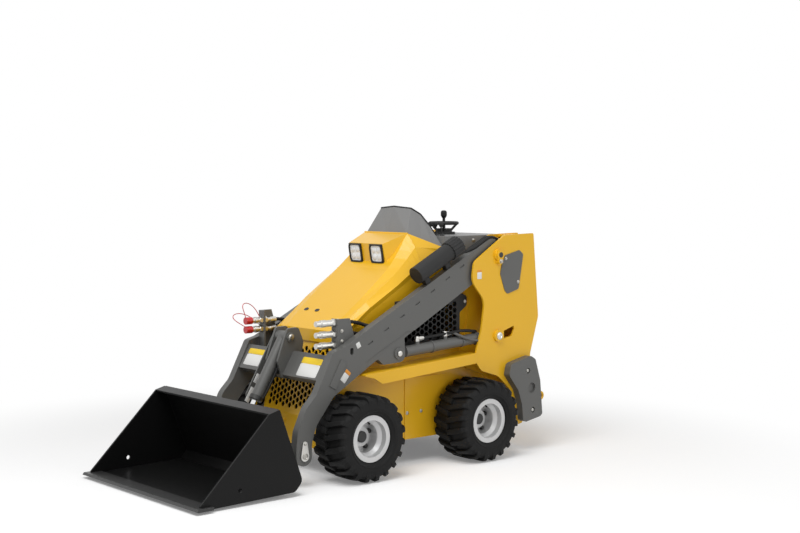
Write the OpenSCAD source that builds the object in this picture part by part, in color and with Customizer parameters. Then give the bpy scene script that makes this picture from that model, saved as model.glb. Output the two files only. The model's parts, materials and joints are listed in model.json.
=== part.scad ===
// Wheeled mini loader with lift arms and a bucket.
// +X points forward, +Y to the left, +Z up. The origin is on the ground, in the middle of the machine's box.
// Places along the machine are measured from the front axle, forward positive.

/* [Wheels] */
// Diameter of a tyre over its lugs
tyre_d = 457; // [430:1:470]
// Width of a tyre across its sidewalls
tyre_w = 250; // [235:1:254]
// Diameter of the bead seat of a rim
rim_d = 204; // [190:1:220]
// Diameter of the flanges of a rim
flange_d = 244; // [230:1:260]
// Width of a rim over its flanges
rim_w = 204; // [190:1:215]
// Depth of the wheel disc behind the outer flange
disc_depth = 110; // [90:1:125]
// Diameter of the stub axle that a wheel turns on
axle_d = 56; // [46:1:64]
// Distance between the front and rear axles
wheelbase = 842; // [800:1:880]
// Distance between the left and right wheel centres
track = 854; // [846:1:880]
/* [Chassis] */
// Width over the side plates of the tub
frame_w = 580; // [560:1:590]
// Thickness of the tub's plates
plate_t = 8; // [6:1:12]
// Clearance under the belly plate
belly_z = 140; // [120:1:160]
// Front face of the front panel's top edge, ahead of the front axle
nose_x = 12; // [5:1:20]
// Distance that the foot of the front panel stands ahead of its top edge
nose_run = 90; // [60:1:110]
// Height of the foot of the sloped front panel
nose_foot_z = 300; // [280:1:320]
// Distance from the front axle back to the rear panel
rear_x = 1256; // [1240:1:1256]
// Width of a hexagonal hole across its flats
hex_af = 28; // [22:1:30]
// Distance between neighbouring hexagonal holes
hex_pitch = 35; // [34:1:42]
// Reach of the side ledges beyond the tub
ledge_reach = 140; // [120:1:150]
/* [Towers] */
// Height of the top of the towers
tower_top_z = 1255; // [1250:1:1270]
// Height of the foot of the towers
tower_foot_z = 157; // [150:1:165]
// Distance from the front axle back to the front edge of the towers
tower_front = 807; // [800:1:812]
// Length of a tower from front to rear
tower_len = 531; // [528:1:540]
// Thickness of a tower plate
tower_t = 12; // [10:1:14]
// Thickness of a rear weight
weight_t = 45; // [30:1:60]
/* [Lift arms] */
// Distance from the front axle back to the arm pivot
pivot_back = 1011; // [1005:1:1015]
// Height of the arm pivot
pivot_z = 1139; // [1136:1:1142]
// Distance of the bucket pin ahead of the front axle
bucket_pin_x = 336; // [332:1:340]
// Height of the bucket pin
bucket_pin_z = 162; // [158:1:164]
// Width of an arm
arm_w = 46; // [42:1:48]
// Distance from the middle of the machine to the middle of an arm
arm_y = 378; // [376:1:380]
// Diameter of the arm pivot pins
pivot_pin_d = 44; // [36:1:50]
// Diameter of the bucket pins
bucket_pin_d = 32; // [26:1:38]
/* [Cylinders] */
// Outer diameter of a lift cylinder's barrel
lift_barrel_d = 60; // [54:1:60]
// Diameter of a lift cylinder's rod
lift_rod_d = 34; // [28:1:38]
// Length of a lift cylinder's barrel from its eye
lift_barrel_len = 600; // [580:1:610]
// Outer diameter of the tilt cylinder's barrel
tilt_barrel_d = 62; // [54:1:70]
// Diameter of the tilt cylinder's rod
tilt_rod_d = 32; // [26:1:36]
// Length of the tilt cylinder's barrel from its eye
tilt_barrel_len = 375; // [360:1:385]
/* [Bucket] */
// Distance of the cutting edge ahead of the front axle
front_reach = 1070; // [1060:1:1090]
// Width of the cutting edge
edge_w = 1108; // [1100:1:1130]
// Width over the bucket's side plates
bucket_w = 1066; // [1040:1:1080]
// Thickness of the bucket's plates
bucket_t = 10; // [8:1:12]
// Height of the bucket's floor above the ground
bucket_floor_z = 14; // [10:1:20]
/* [Hood and console] */
// Length of the hood with its fixed rear part
hood_len = 721; // [710:1:730]
// Height of the hood's front edge
hood_front_z = 759; // [755:1:765]
// Rise of the hood from its front edge to its hinge
hood_rise = 504; // [498:1:508]
// Thickness of the hood's sheet
hood_t = 5; // [4:1:7]
// Height of the top of the cowl
cowl_top_z = 1410; // [1380:1:1420]
// Height of the console deck
deck_z = 1245; // [1240:1:1249]
// Outer diameter of the drive control's ring
ring_d = 176; // [150:1:190]
// Side length of a work lamp
lamp_w = 96; // [80:1:100]

/* [Hidden] */
$fn = 48;

// Colours
paint_yellow = [0.92, 0.70, 0.10];
paint_grey = [0.36, 0.36, 0.35];
cowl_grey = [0.52, 0.52, 0.51];
bucket_black = [0.07, 0.07, 0.07];
rubber_black = [0.05, 0.05, 0.05];
plastic_black = [0.12, 0.12, 0.12];
rim_silver = [0.78, 0.78, 0.78];
zinc = [0.70, 0.70, 0.68];
cap_red = [0.80, 0.08, 0.10];
lens_clear = [0.85, 0.88, 0.90];

// Clearances, overrun and rounding
overrun = 2;
pin_fit = 0.05;
seat_gap = 0.3;
side_gap = 1;
arc_steps = 8;

// Wheels
tyre_r = tyre_d / 2;
rim_r = rim_d / 2;
flange_r = flange_d / 2;
flange_t = 6;
rim_t = 6;
drop_r = 84;
disc_t = 10;
hub_d = 104;
hub_in = 26;
hub_out = 22;
motor_d = 124;
motor_flange_d = 150;
motor_flange_t = 12;
wheel_y = track / 2;
rear_reach = 568;
front_axle_x = (wheelbase + rear_reach - front_reach) / 2;
lug_count = 20;
// Half a tyre's rings from the middle outwards: half width and height between the lugs, half width and height on a
// lug's top, all as shares of the tyre's half width and of its height, and the sweep back in lug pitches
tread_shares = [
    [0.07, 0.87, 0.07, 1.00, 0.00], [0.74, 0.84, 0.78, 0.975, 0.28], [0.93, 0.68, 1.00, 0.80, 0.38],
    [0.96, 0.44, 0.96, 0.44, 0.38]
];
// Corners round a lug in lug pitches, and whether each is on the lug's top
lug_phase_shares = [-0.07, 0.00, 0.40, 0.47];
lug_tops = [0, 1, 1, 0];

// Chassis
frame_y = frame_w / 2;
frame_inner_y = frame_y - plate_t;
panel_t = 6;
rear_panel_t = 8;
rear_panel_top_z = 1180;
grille_depth = 45;
grille_wall = 6;
grille_border = 14;
grille_front = 357;
grille_len = 495;
grille_low_z = 662;
grille_h = 263;
// Side grille's outline: share of its length from the rear, share of its height, corner radius as a share of it
grille_shares = [
    [1.00, 0.00, 0.03], [1.00, 0.91, 0.03], [0.06, 1.00, 0.08], [0.00, 0.93, 0.06], [0.00, 0.74, 0.08],
    [0.11, 0.60, 0.05], [0.11, 0.00, 0.03]
];
cover_t = 4;
cover_front = 427;
cover_rear = 725;
cover_top_z = 478;
engine_front = 240;
engine_len = 380;
engine_w = 340;
engine_h = 420;

// Towers
tower_inner_y = frame_y;
tower_inner_face = tower_inner_y + tower_t;
tower_outer_face = 413;
tower_outer_y = tower_outer_face + tower_t;
tower_h = tower_top_z - tower_foot_z;
// Tower plate: share of its length from the rear, share of its height, corner radius as a share of the height
tower_shares = [
    [0.08, 1.00, 0.01], [0.52, 0.995, 0.014], [0.97, 0.863, 0.05], [1.00, 0.765, 0.08], [0.84, 0.675, 0.07],
    [0.82, 0.64, 0.07], [0.86, 0.515, 0.10], [0.94, 0.40, 0.05], [0.94, 0.353, 0.05], [0.86, 0.305, 0.06],
    [0.61, 0.268, 0.10], [0.45, 0.20, 0.10], [0.355, 0.11, 0.10], [0.30, 0.00, 0.005], [0.245, 0.006, 0.005],
    [0.09, 0.13, 0.036], [0.124, 0.365, 0.055], [0.00, 0.56, 0.055]
];
tower_wall_x = 1268;
// Side ledge from the tower's edge forward: share of its length from the rear, share of its height
ledge_rear = tower_front + (1 - tower_shares[7].x) * tower_len;
ledge_front = 40;
ledge_len = ledge_rear - ledge_front;
ledge_low_z = 487;
ledge_h = 109;
ledge_t = 8;
ledge_lip_shares = [[1.00, 0.45], [0.925, 0.31], [0.857, 0.00], [0.00, 0.47], [0.00, 1.00], [1.00, 0.53]];
// Tower details
tower_wall_foot_z = 270;
tower_cap_len = 138;
tower_cap_drop = 8;
lift_pin_back = 1010;
lift_pin_z = 681;
boss_d = 68;
boss_h = 14;
flag_d = 34;
flag_drop = 36;
// Hole behind the lift cylinder's pin: share of its length from the rear, share of its height, corner radius
slot_back = 1142;
slot_len = 84;
slot_z = 658;
slot_h = 72;
slot_shares = [
    [1.00, 0.06, 0.08], [1.00, 0.66, 0.10], [0.62, 0.80, 0.10], [0.06, 1.00, 0.08], [0.00, 0.74, 0.10],
    [0.26, 0.20, 0.10]
];
// Cover plate on a tower
cover_back = 1208;
cover_len = 184;
cover_foot_z = 915;
cover_h = 246;
cover_shares = [
    [0.79, 0.89, 0.03], [0.17, 1.00, 0.06], [0.00, 0.90, 0.06], [0.20, 0.10, 0.06], [0.69, 0.00, 0.06],
    [0.80, 0.08, 0.04], [1.00, 0.47, 0.08], [0.92, 0.70, 0.08]
];
// Rear weight
weight_back = 1331;
weight_len = 273;
weight_foot_z = 175;
weight_h = 378;
weight_shares = [
    [0.94, 0.91, 0.08], [0.355, 1.00, 0.066], [0.216, 0.94, 0.066], [0.07, 0.61, 0.16], [0.00, 0.09, 0.03],
    [0.066, 0.053, 0.026], [0.495, 0.00, 0.03], [0.58, 0.03, 0.03], [0.62, 0.28, 0.16], [0.73, 0.50, 0.16],
    [1.00, 0.74, 0.066]
];
// Recesses of a rear weight: share of its length, share of its height, diameter as a share of its length
weight_recess_shares = [[0.44, 0.777, 0.12], [0.29, 0.17, 0.12], [0.33, 0.51, 0.22]];
weight_recess_depth = 12;
eye_t = 12;
eye_y = 394;
eye_foot_z = 275;
eye_h = 52;
eye_hole_d = 30;
buffer_w = 44;
buffer_h = 56;
buffer_len = 110;

// Lift arms
arm_in = arm_y - arm_w / 2;
arm_out = arm_y + arm_w / 2;
arm_reach = bucket_pin_x + pivot_back;
arm_drop = pivot_z - bucket_pin_z;
// Arm outline: share of its reach ahead of the pivot, share of its drop below it, radius as a share of the drop
arm_shares = [
    [0.019, -0.103, 0.07], [-0.073, -0.032, 0.06], [-0.066, 0.055, 0.05], [-0.007, 0.061, 0.06],
    [0.502, 0.435, 0.01], [0.494, 0.564, 0.045], [0.61, 0.57, 0.02], [0.639, 0.536, 0.02], [0.741, 0.613, 0],
    [0.86, 0.709, 0.09], [0.941, 0.846, 0.15], [0.965, 0.936, 0.12], [0.963, 1.051, 0.049],
    [1.037, 1.051, 0.049], [1.037, 0.961, 0.06], [1.03, 0.874, 0.12], [0.99, 0.754, 0.12], [0.943, 0.69, 0.10],
    [0.862, 0.475, 0.027], [0.814, 0.458, 0.06]
];
lug_back = 295;
lug_z = 634;
lug_pin_d = 30;
lug_slot_w = 22;
lug_slot_back = 120;
lug_slot_ahead = 45;
lug_slot_h = 140;
lug_slot_low = 70;
lug_boss_d = 64;
lug_boss_h = 4;
// Step above the lug plate on the arm's outer face, as shares like the outline's
lug_step = 4;
lug_step_shares = [[0.70, 0.54], [0.49, 0.397], [0.43, 0.397], [0.43, 0.62], [0.70, 0.62]];
// Clip slots below the arm's top edge, measured along it from the elbow
clip_count = 7;
clip_start = 153;
clip_step = 126;
clip_drop = 75;
clip_rise = 6;
clip_len = 34;
clip_h = 9;
clip_depth = 5;
// Oval hole at the elbow and pad on the leg
oval_x = 27;
oval_z = 671;
oval_w = 22;
oval_h = 16;
pad_x = 120;
pad_z = 559;
pad_len = 150;
pad_w = 42;
pad_t = 6;
pad_lean = 60;
// Cross beam and tilt bracket: share of the arm's reach ahead of the pivot, share of its drop below it
beam_shares = [[0.860, 0.497], [0.914, 0.622], [0.876, 0.653], [0.824, 0.528]];
bracket_shares = [
    [0.837, 0.372, 0.02], [0.890, 0.374, 0.02], [0.938, 0.546, 0.02], [0.916, 0.639, 0.02], [0.876, 0.653, 0],
    [0.824, 0.528, 0], [0.812, 0.452, 0.02]
];
lock_bar_len = 350;
lock_bar_w = 44;
lock_bar_t = 8;
bracket_gap = 88;
bracket_t = 14;
bracket_y = bracket_gap / 2 + bracket_t;
tilt_pin_x = 170;
tilt_pin_z = 727;
tilt_pin_d = 28;
tilt_eye_x = 424;
tilt_eye_z = 290;
pin_head_t = 8;
pin_head_d = 50;
retainer_t = 8;
// Couplers of the auxiliary circuit
coupler_x = 74;
coupler_bracket_t = 10;
coupler_bracket_w = 52;
coupler_bracket_foot_z = 630;
coupler_bracket_top_z = 838;
coupler_d = 30;
coupler_collar_d = 38;
coupler_y = 326;
coupler_len = 122;
fitting_len = 80;
fitting_d = 24;
coupler_left_z = [702, 759, 817];
coupler_right_z = [736, 785];
coupler_right_len = 70;
cap_len = 40;
cap_d = 40;
coupler_body_d = 34;
nut_af = 36;
nut_len = 18;
ferrule_d = 30;
coupler_gusset_shares = [[0.00, 0.22], [0.45, 0.00], [1.00, 0.00], [1.00, 1.00], [0.42, 1.00]];
coupler_gusset_len = 120;
// Hoses from the couplers into the arms
hose_d = 20;
hose_run = 130;
hose_bend = 60;
hose_drop = 30;
hose_rings = 8;
hose_sides = 10;
// Document tube along the top of the left arm, measured along the top edge from the elbow
tube_start = 622;
tube_len = 268;
tube_cap_len = 80;
tube_d = 96;
tube_cap_d = 110;
tube_cap_ribs = 18;
tube_rib_share = 0.94;
tube_lift = 76;
tube_foot_w = 34;

// Lift cylinder, at rest between the arm's lug and the tower's lower pin
lift_run = lift_pin_back - lug_back;
lift_climb = lift_pin_z - lug_z;
lift_len = norm([lift_run, lift_climb]);
lift_angle = atan2(lift_climb, lift_run);
lift_eye_d = 60;
lift_eye_w = 20;
lift_base_at = 56;
lift_bore_at = 84;
lift_rod_len = 628;
lift_rod_eye_d = 68;
lift_rod_eye_w = 44;
lift_rod_pin_d = 34;
// Tilt cylinder, at rest between the bracket's pin and the attachment plate's lugs
tilt_run = tilt_eye_x - tilt_pin_x;
tilt_fall = tilt_pin_z - tilt_eye_z;
tilt_len = norm([tilt_run, tilt_fall]);
tilt_angle = atan2(tilt_fall, tilt_run);
tilt_eye_d = 60;
tilt_eye_w = 52;
tilt_base_at = 40;
tilt_bore_at = 44;
tilt_rod_len = 400;
tilt_rod_eye_d = 60;
port_at = [150, 355];
port_d = 26;
port_h = 44;

// Bucket
bucket_back = 444;
edge_ahead = 28;
edge_len = 95;
edge_t = 16;
edge_bevel = 10;
bucket_len = front_reach - edge_ahead - bucket_back;
bucket_h = 429;
bucket_y = bucket_w / 2 - bucket_t;
bucket_tip = [front_reach - edge_len, bucket_floor_z];
// Bucket side from the heel up: share of its length from the rear, share of its height, corner radius as a share
bucket_side_shares = [
    [0.077, 0.026, 0.09], [0.00, 0.142, 0.09], [0.229, 1.00, 0.014], [0.329, 0.963, 0.01], [0.376, 0.897, 0.03]
];
// Bucket sheet, its outside from the heel up to the rear top edge
bucket_sheet_shares = [[0.077, 0.026], [0.00, 0.142], [0.229, 1.00], [0.329, 0.963]];
retainer_h = 62;
retainer_d = 30;
bucket_hole_d = 22;
bucket_hole_share = [0.62, 0.155];
// Attachment plate, along the bucket's back from its heel
plate_start = 10;
plate_h = 330;
plate_thick = 14;
plate_w = 2 * (arm_in - side_gap);
ear_t = 22;
ear_d = 88;
lug_gap = 56;
lug_t = 16;
window_w = 150;
window_h = 150;
window_at = 110;

// Hood
hood_nose_x = 21;
cowl_ahead = 45;
// Hood sections: share of the length from the front, share of the rise for the top, half width of the top as
// a share of the half width, shares of the rise for the shoulder and for the skirt
hood_shares = [
    [0.00, 0.00, 0.66, -0.05, -0.13], [0.275, 0.312, 0.74, 0.235, 0.155], [0.545, 0.62, 0.73, 0.455, 0.375],
    [0.63, 0.735, 0.69, 0.535, 0.445], [0.69, 0.83, 0.66, 0.59, 0.495], [0.74, 0.93, 0.645, 0.634, 0.535],
    [0.779, 1.00, 0.64, 0.667, 0.567],
    [1 + (cowl_ahead - seat_gap) / hood_len, 0.82, 0.95, 0.79, 0.70]
];
hood_last = 6;
hood_fold = 12;
hinge_d = 10;
hinge_y = frame_y * hood_shares[hood_last][2];
hood_flare = 8;
hood_bulge = 9;
// Visor over the lamps: share of the hood's length, share of the rise for its top, half width of the top, share
// of the rise for its foot, half width of the foot
visor_shares = [[0.573, 0.889, 0.50, 0.66, 0.54], [0.779, 1.00, 0.64, 0.66, 0.70]];
visor_lean = 20;
hood_hinge_share = hood_shares[hood_last][0];
lamp_y = 91;
lamp_z = 1153;
lamp_depth = 40;
lamp_rim = 8;
lamp_rim_t = 8;
lamp_lens_t = 4;
lamp_lens_inset = 2;
lens_w = lamp_w - lamp_rim;
// Room that the hood leaves for a lamp's rim
lamp_room = lamp_w + lamp_rim + 2 * seat_gap;
lamp_lens_x = lamp_rim_t - lamp_lens_t - lamp_lens_inset;

// Console and cowl
cowl_t = 5;
cowl_rear_back = hood_len - hood_nose_x + cowl_ahead;
console_front = cowl_rear_back;
console_gap = 24;
console_w = frame_w - 2 * console_gap;
// Cowl from its middle round to its rear end: share of its depth and of the console's half width for its foot,
// the same for its rim, share of the height above the deck for its rim, and the way in through its wall
cowl_shares = [
    [0.00, 0.00, 0.266, 0.00, 1.00, -1.0, 0.0], [0.00, 0.66, 0.344, 0.485, 0.94, -0.8, -0.6],
    [0.388, 0.78, 0.60, 0.564, 0.74, -0.2, -1.0], [0.73, 0.913, 0.804, 0.64, 0.41, 0.0, -1.0],
    [1.00, 1.00, 1.00, 0.714, 0.03, 0.0, -1.0]
];
console_foot_z = 1090;
console_t = 6;
ring_back = 984;
ring_z = 1310;
ring_bar_d = 20;
control_base_d = 132;
control_base_h = 14;
control_neck_d = 96;
control_neck_h = 34;
post_d = 14;
post_count = 4;
lever_d = 16;
knob_d = 36;
knob_h = 44;
knob_z = 1384;
// Lever's knob: share of its radius, share of its height
knob_shares = [[0, 0], [0.60, 0], [1.00, 0.30], [1.00, 0.72], [0.80, 0.93], [0.40, 1.00], [0, 1.00]];

// A unit vector along v
function unit(v) = v / norm(v);

// Points of a corner at b between a and c, each [x, z, radius], as a short arc
function corner(a, b, c) =
    let (p = [b.x, b.y], u = unit([a.x, a.y] - p), v = unit([c.x, c.y] - p), half = acos(u * v) / 2, r = b.z)
    r == 0 ? [p] :
    let (centre = p + unit(u + v) * r / sin(half), from = p + u * r / tan(half) - centre)
    let (to = p + v * r / tan(half) - centre, start = atan2(from.y, from.x))
    let (turn = atan2(from.x * to.y - from.y * to.x, from * to))
    [for (k = [0:arc_steps]) centre + r * [cos(start + turn * k / arc_steps), sin(start + turn * k / arc_steps)]];

// An outline whose corners [x, z, radius] are rounded
function rounded(c) = let (n = len(c)) [for (i = [0:n - 1]) each corner(c[(i + n - 1) % n], c[i], c[(i + 1) % n])];

// Corner places from shares of a length and a height, with radii as shares of the height
function scaled(shares, x, z, length, height) =
    [for (s = shares) [x + s.x * length, z + s.y * height, is_undef(s.z) ? 0 : s.z * abs(height)]];

// Moves a shape from the front axle to its place in the machine's box
module placed() translate([front_axle_x, 0, 0]) children();

// The shape and its mirror image on the right side
module both_sides() {
    children();
    mirror([0, 1, 0]) children();
}

// A side outline in X and Z given thickness from y0 to y1
module plate(points, y0, y1) translate([0, y1, 0]) rotate([90, 0, 0]) linear_extrude(y1 - y0) polygon(points);

// A round bar across the machine from y0 to y1
module cross_bar(x, z, d, y0, y1) translate([x, y1, z]) rotate([90, 0, 0]) cylinder(d = d, h = y1 - y0);

// A round bar forward from x0 to x1
module long_bar(x0, x1, y, z, d) translate([x0, y, z]) rotate([0, 90, 0]) cylinder(d = d, h = x1 - x0);

// A solid through rings of points, each ring clockwise seen from the next one, with a fan of triangles at each end
module loft(rings) {
    n = len(rings[0]);
    m = len(rings);
    sides = [for (i = [0:m - 2], k = [0:n - 1]) each let (a = i * n + k, b = i * n + (k + 1) % n, c = a + n, d = b + n)
        2 * k < n ? [[a, b, c], [b, d, c]] : [[a, b, d], [a, d, c]]];
    ends = [for (k = [1:n - 2]) each [[0, k + 1, k], [(m - 1) * n, (m - 1) * n + k, (m - 1) * n + k + 1]]];
    polyhedron([for (r = rings) each r], concat(sides, ends));
}

// Side plates of the tub, cut open behind the side grilles, with their tops along the hood's skirt
function hood_x(share) = hood_nose_x - share * hood_len;
function hood_z(share) = hood_front_z + share * hood_rise;
module frame_side() {
    window_rear = grille_front + grille_len * (1 - grille_shares[6].x) - grille_wall;
    window_h_side = grille_h * grille_shares[1].y - 2 * grille_wall;
    skirt = [for (s = hood_shares) [hood_x(s[0]), hood_z(s[4]) - seat_gap]];
    difference() {
        plate(concat([[-rear_x, belly_z], [nose_x + nose_run, belly_z], [nose_x + nose_run, nose_foot_z],
            [nose_x, skirt[0].y]], [for (p = skirt) [min(p.x, nose_x), p.y]],
            [[-console_front, console_foot_z], [-rear_x, console_foot_z]]), frame_inner_y, frame_y);
        translate([-window_rear, frame_inner_y - overrun, grille_low_z + grille_wall])
            cube([window_rear - grille_front - grille_wall, plate_t + 2 * overrun, window_h_side]);
    }
}
module frame_side_left() color(paint_yellow) placed() frame_side();
module frame_side_right() color(paint_yellow) placed() mirror([0, 1, 0]) frame_side();

module belly_plate() color(paint_yellow) placed()
    translate([-rear_x, -frame_inner_y, belly_z])
        cube([rear_x + nose_x + nose_run - panel_t, 2 * frame_inner_y, plate_t]);

// Hexagonal holes in a field of length by height round its middle
module hex_field(length, height) {
    columns = floor(length / (hex_pitch * cos(30))) - 1;
    rows = floor(height / hex_pitch) - 1;
    for (c = [0:columns], r = [0:rows - c % 2])
        translate([(c - columns / 2) * hex_pitch * cos(30), (r - rows / 2 + (c % 2) / 2) * hex_pitch])
            circle(d = hex_af / cos(30), $fn = 6);
}

// Front panel: perforated where it slopes, plain at its foot
module front_panel() color(paint_yellow) placed() {
    top_z = hood_z(hood_shares[0][4]) - seat_gap;
    slope = norm([nose_run, top_z - nose_foot_z]);
    lean = atan2(nose_run, top_z - nose_foot_z);
    translate([nose_x + nose_run / 2, 0, (top_z + nose_foot_z) / 2]) rotate([0, -lean, 0]) rotate([90, 0, 90])
        translate([0, 0, -panel_t]) linear_extrude(panel_t) difference() {
            square([2 * frame_inner_y, slope], center = true);
            hex_field(2 * (frame_inner_y - grille_border), slope - 2 * grille_border);
        }
    translate([nose_x + nose_run - panel_t, -frame_inner_y, belly_z])
        cube([panel_t, 2 * frame_inner_y, nose_foot_z - belly_z]);
}

module rear_panel() color(paint_yellow) placed()
    translate([-rear_x - rear_panel_t, -frame_y, belly_z])
        cube([rear_panel_t, frame_w, rear_panel_top_z - belly_z]);

module engine_block() color(plastic_black) placed()
    translate([-engine_front - engine_len, -engine_w / 2, belly_z + plate_t])
        cube([engine_len, engine_w, engine_h]);

// Wheel motors with the stub axles that the wheels turn on
module wheel_motors() color(plastic_black) placed() both_sides() for (x = [0, -wheelbase]) {
    hub_face = wheel_y + rim_w / 2 - disc_depth - hub_in;
    cross_bar(x, tyre_r, motor_flange_d, frame_y, frame_y + motor_flange_t);
    cross_bar(x, tyre_r, motor_d, frame_y, hub_face - side_gap);
    cross_bar(x, tyre_r, axle_d, frame_y, hub_face + hub_in);
}

module side_ledges() color(paint_yellow) placed() both_sides() {
    lip = scaled(ledge_lip_shares, -ledge_rear, ledge_low_z, ledge_len, ledge_h);
    outline = [for (p = lip) [p.x, p.y]];
    shelf = [outline[5], outline[4], outline[4] - [0, ledge_t], outline[5] - [0, ledge_t]];
    plate(shelf, frame_y, frame_y + ledge_reach);
    plate(outline, frame_y + ledge_reach - ledge_t, frame_y + ledge_reach);
}

// Side grilles: perforated covers with a wall round them
module side_grilles() color(plastic_black) placed() both_sides() {
    rear = -grille_front - grille_len;
    outline = [for (p = rounded(scaled(grille_shares, rear, grille_low_z, grille_len, grille_h))) p];
    field_rear = rear + grille_shares[6].x * grille_len + grille_border;
    field_len = -grille_front - grille_border - field_rear;
    field_h = grille_h * grille_shares[1].y - 2 * grille_border;
    translate([0, frame_y + grille_depth, 0]) rotate([90, 0, 0]) {
        linear_extrude(grille_wall) difference() {
            polygon(outline);
            translate([field_rear + field_len / 2, grille_low_z + grille_border + field_h / 2])
                hex_field(field_len, field_h);
        }
        translate([0, 0, grille_wall]) linear_extrude(grille_depth - grille_wall) difference() {
            polygon(outline);
            translate([field_rear - grille_wall, grille_low_z + grille_wall])
                square([field_len + grille_wall, field_h + grille_wall]);
        }
    }
}

// Cover plates on the tub between the wheels
module side_covers() color(paint_yellow) placed() both_sides()
    translate([-cover_rear, frame_y, belly_z]) cube([cover_rear - cover_front, cover_t, cover_top_z - belly_z]);

// Tower: inner and outer plates, a rear wall and a cap between them, and pin bosses
module tower() {
    outline = rounded(scaled(tower_shares, -tower_front - tower_len, tower_foot_z, tower_len, tower_h));
    cap_foot_z = tower_top_z - tower_t - tower_cap_drop;
    boss_y = tower_outer_y + boss_h;
    difference() {
        union() {
            plate(outline, tower_inner_y, tower_inner_face);
            plate(outline, tower_outer_face, tower_outer_y);
            translate([-tower_wall_x, tower_inner_y, tower_wall_foot_z])
                cube([tower_t, tower_outer_y - tower_inner_y, cap_foot_z - tower_wall_foot_z]);
            translate([-tower_wall_x, tower_inner_y, cap_foot_z])
                cube([tower_cap_len, tower_outer_y - tower_inner_y, tower_t]);
            cross_bar(-pivot_back, pivot_z, boss_d, tower_inner_y, arm_in - side_gap);
            cross_bar(-pivot_back, pivot_z, boss_d, arm_out + side_gap, boss_y);
            cross_bar(-pivot_back, pivot_z - flag_drop, flag_d, tower_outer_y, boss_y);
            cross_bar(-lift_pin_back, lift_pin_z, boss_d, tower_outer_y, boss_y);
        }
        cross_bar(-pivot_back, pivot_z, pivot_pin_d + 2 * pin_fit, tower_inner_y - overrun, boss_y + overrun);
        plate(rounded(scaled(slot_shares, -slot_back, slot_z, slot_len, slot_h)), tower_outer_face - overrun,
            tower_outer_y + overrun);
    }
}
module tower_left() color(paint_yellow) placed() tower();
module tower_right() color(paint_yellow) placed() mirror([0, 1, 0]) tower();

module tower_covers() color(paint_grey) placed() both_sides()
    plate(rounded(scaled(cover_shares, -cover_back, cover_foot_z, cover_len, cover_h)), tower_outer_y,
        tower_outer_y + cover_t);

module rear_weights() color(paint_grey) placed() both_sides() difference() {
    plate(rounded(scaled(weight_shares, -weight_back, weight_foot_z, weight_len, weight_h)), tower_outer_y,
        tower_outer_y + weight_t);
    for (s = weight_recess_shares)
        cross_bar(-weight_back + s.x * weight_len, weight_foot_z + s.y * weight_h, s.z * weight_len,
            tower_outer_y + weight_t - weight_recess_depth, tower_outer_y + weight_t + overrun);
}

// Lashing eyes behind the towers
module lashing_eyes() color(paint_yellow) placed() both_sides() difference() {
    eye_x = eye_h / 2 - wheelbase - rear_reach;
    eye_z = eye_foot_z + eye_h / 2;
    union() {
        translate([eye_x, eye_y, eye_foot_z]) cube([-tower_wall_x - eye_x, eye_t, eye_h]);
        cross_bar(eye_x, eye_z, eye_h, eye_y, eye_y + eye_t);
    }
    cross_bar(eye_x, eye_z, eye_hole_d, eye_y - overrun, eye_y + eye_t + overrun);
}

module rear_buffers() color(plastic_black) placed() both_sides()
    translate([-tower_wall_x - buffer_len, eye_y + eye_t - buffer_w, eye_foot_z + eye_h])
        cube([buffer_len, buffer_w, buffer_h]);

// Pivot pins of the lift arms, each with a flag that is bolted to the tower's boss
module arm_pins() color(paint_yellow) placed() both_sides() {
    boss_y = tower_outer_y + boss_h;
    bolt_z = pivot_z - flag_drop;
    cross_bar(-pivot_back, pivot_z, pivot_pin_d, tower_inner_y, boss_y);
    cross_bar(-pivot_back, pivot_z, pin_head_d, boss_y, boss_y + pin_head_t);
    cross_bar(-pivot_back, bolt_z, flag_d, boss_y, boss_y + pin_head_t);
    plate([[-pivot_back - flag_d / 2, bolt_z], [-pivot_back + flag_d / 2, bolt_z],
        [-pivot_back + flag_d / 2, pivot_z], [-pivot_back - flag_d / 2, pivot_z]], boss_y, boss_y + pin_head_t);
}

// Console between the towers, open below
module console() color(cowl_grey) placed() difference() {
    length = rear_x - console_front;
    translate([-rear_x, -console_w / 2, console_foot_z]) cube([length, console_w, deck_z - console_foot_z]);
    translate([-rear_x + console_t, -console_w / 2 + console_t, console_foot_z - overrun])
        cube([length - 2 * console_t, console_w - 2 * console_t, deck_z - console_foot_z - console_t + overrun]);
}

// Cowl: a raised shield, open towards the operator, as a bent wall on the fixed rear of the hood
function cowl_ring(s, side) =
    let (hinge = hood_x(hood_hinge_share), front = hinge_d / 2 + seat_gap - hinge, depth = cowl_rear_back - front)
    let (a = hood_shares[hood_last], b = hood_shares[hood_last + 1], half = side * console_w / 2)
    let (fall = (hood_z(a[1]) - hood_z(b[1])) / (hood_x(a[0]) - hood_x(b[0])), back = front + s[0] * depth)
    let (foot = [-back, s[1] * half, hood_z(1) + seat_gap - (back + hinge) * fall])
    let (rim = [-front - s[2] * depth, s[3] * half, deck_z + s[4] * (cowl_top_z - deck_z)])
    let (through = cowl_t * [s[5], side * s[6], 0])
    [foot, rim, rim + through, foot + through];
module cowl() color(cowl_grey) placed() {
    right = [for (i = [len(cowl_shares) - 1:-1:1]) cowl_ring(cowl_shares[i], -1)];
    left = [for (s = cowl_shares) cowl_ring(s, 1)];
    loft(concat(right, left));
}

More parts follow.
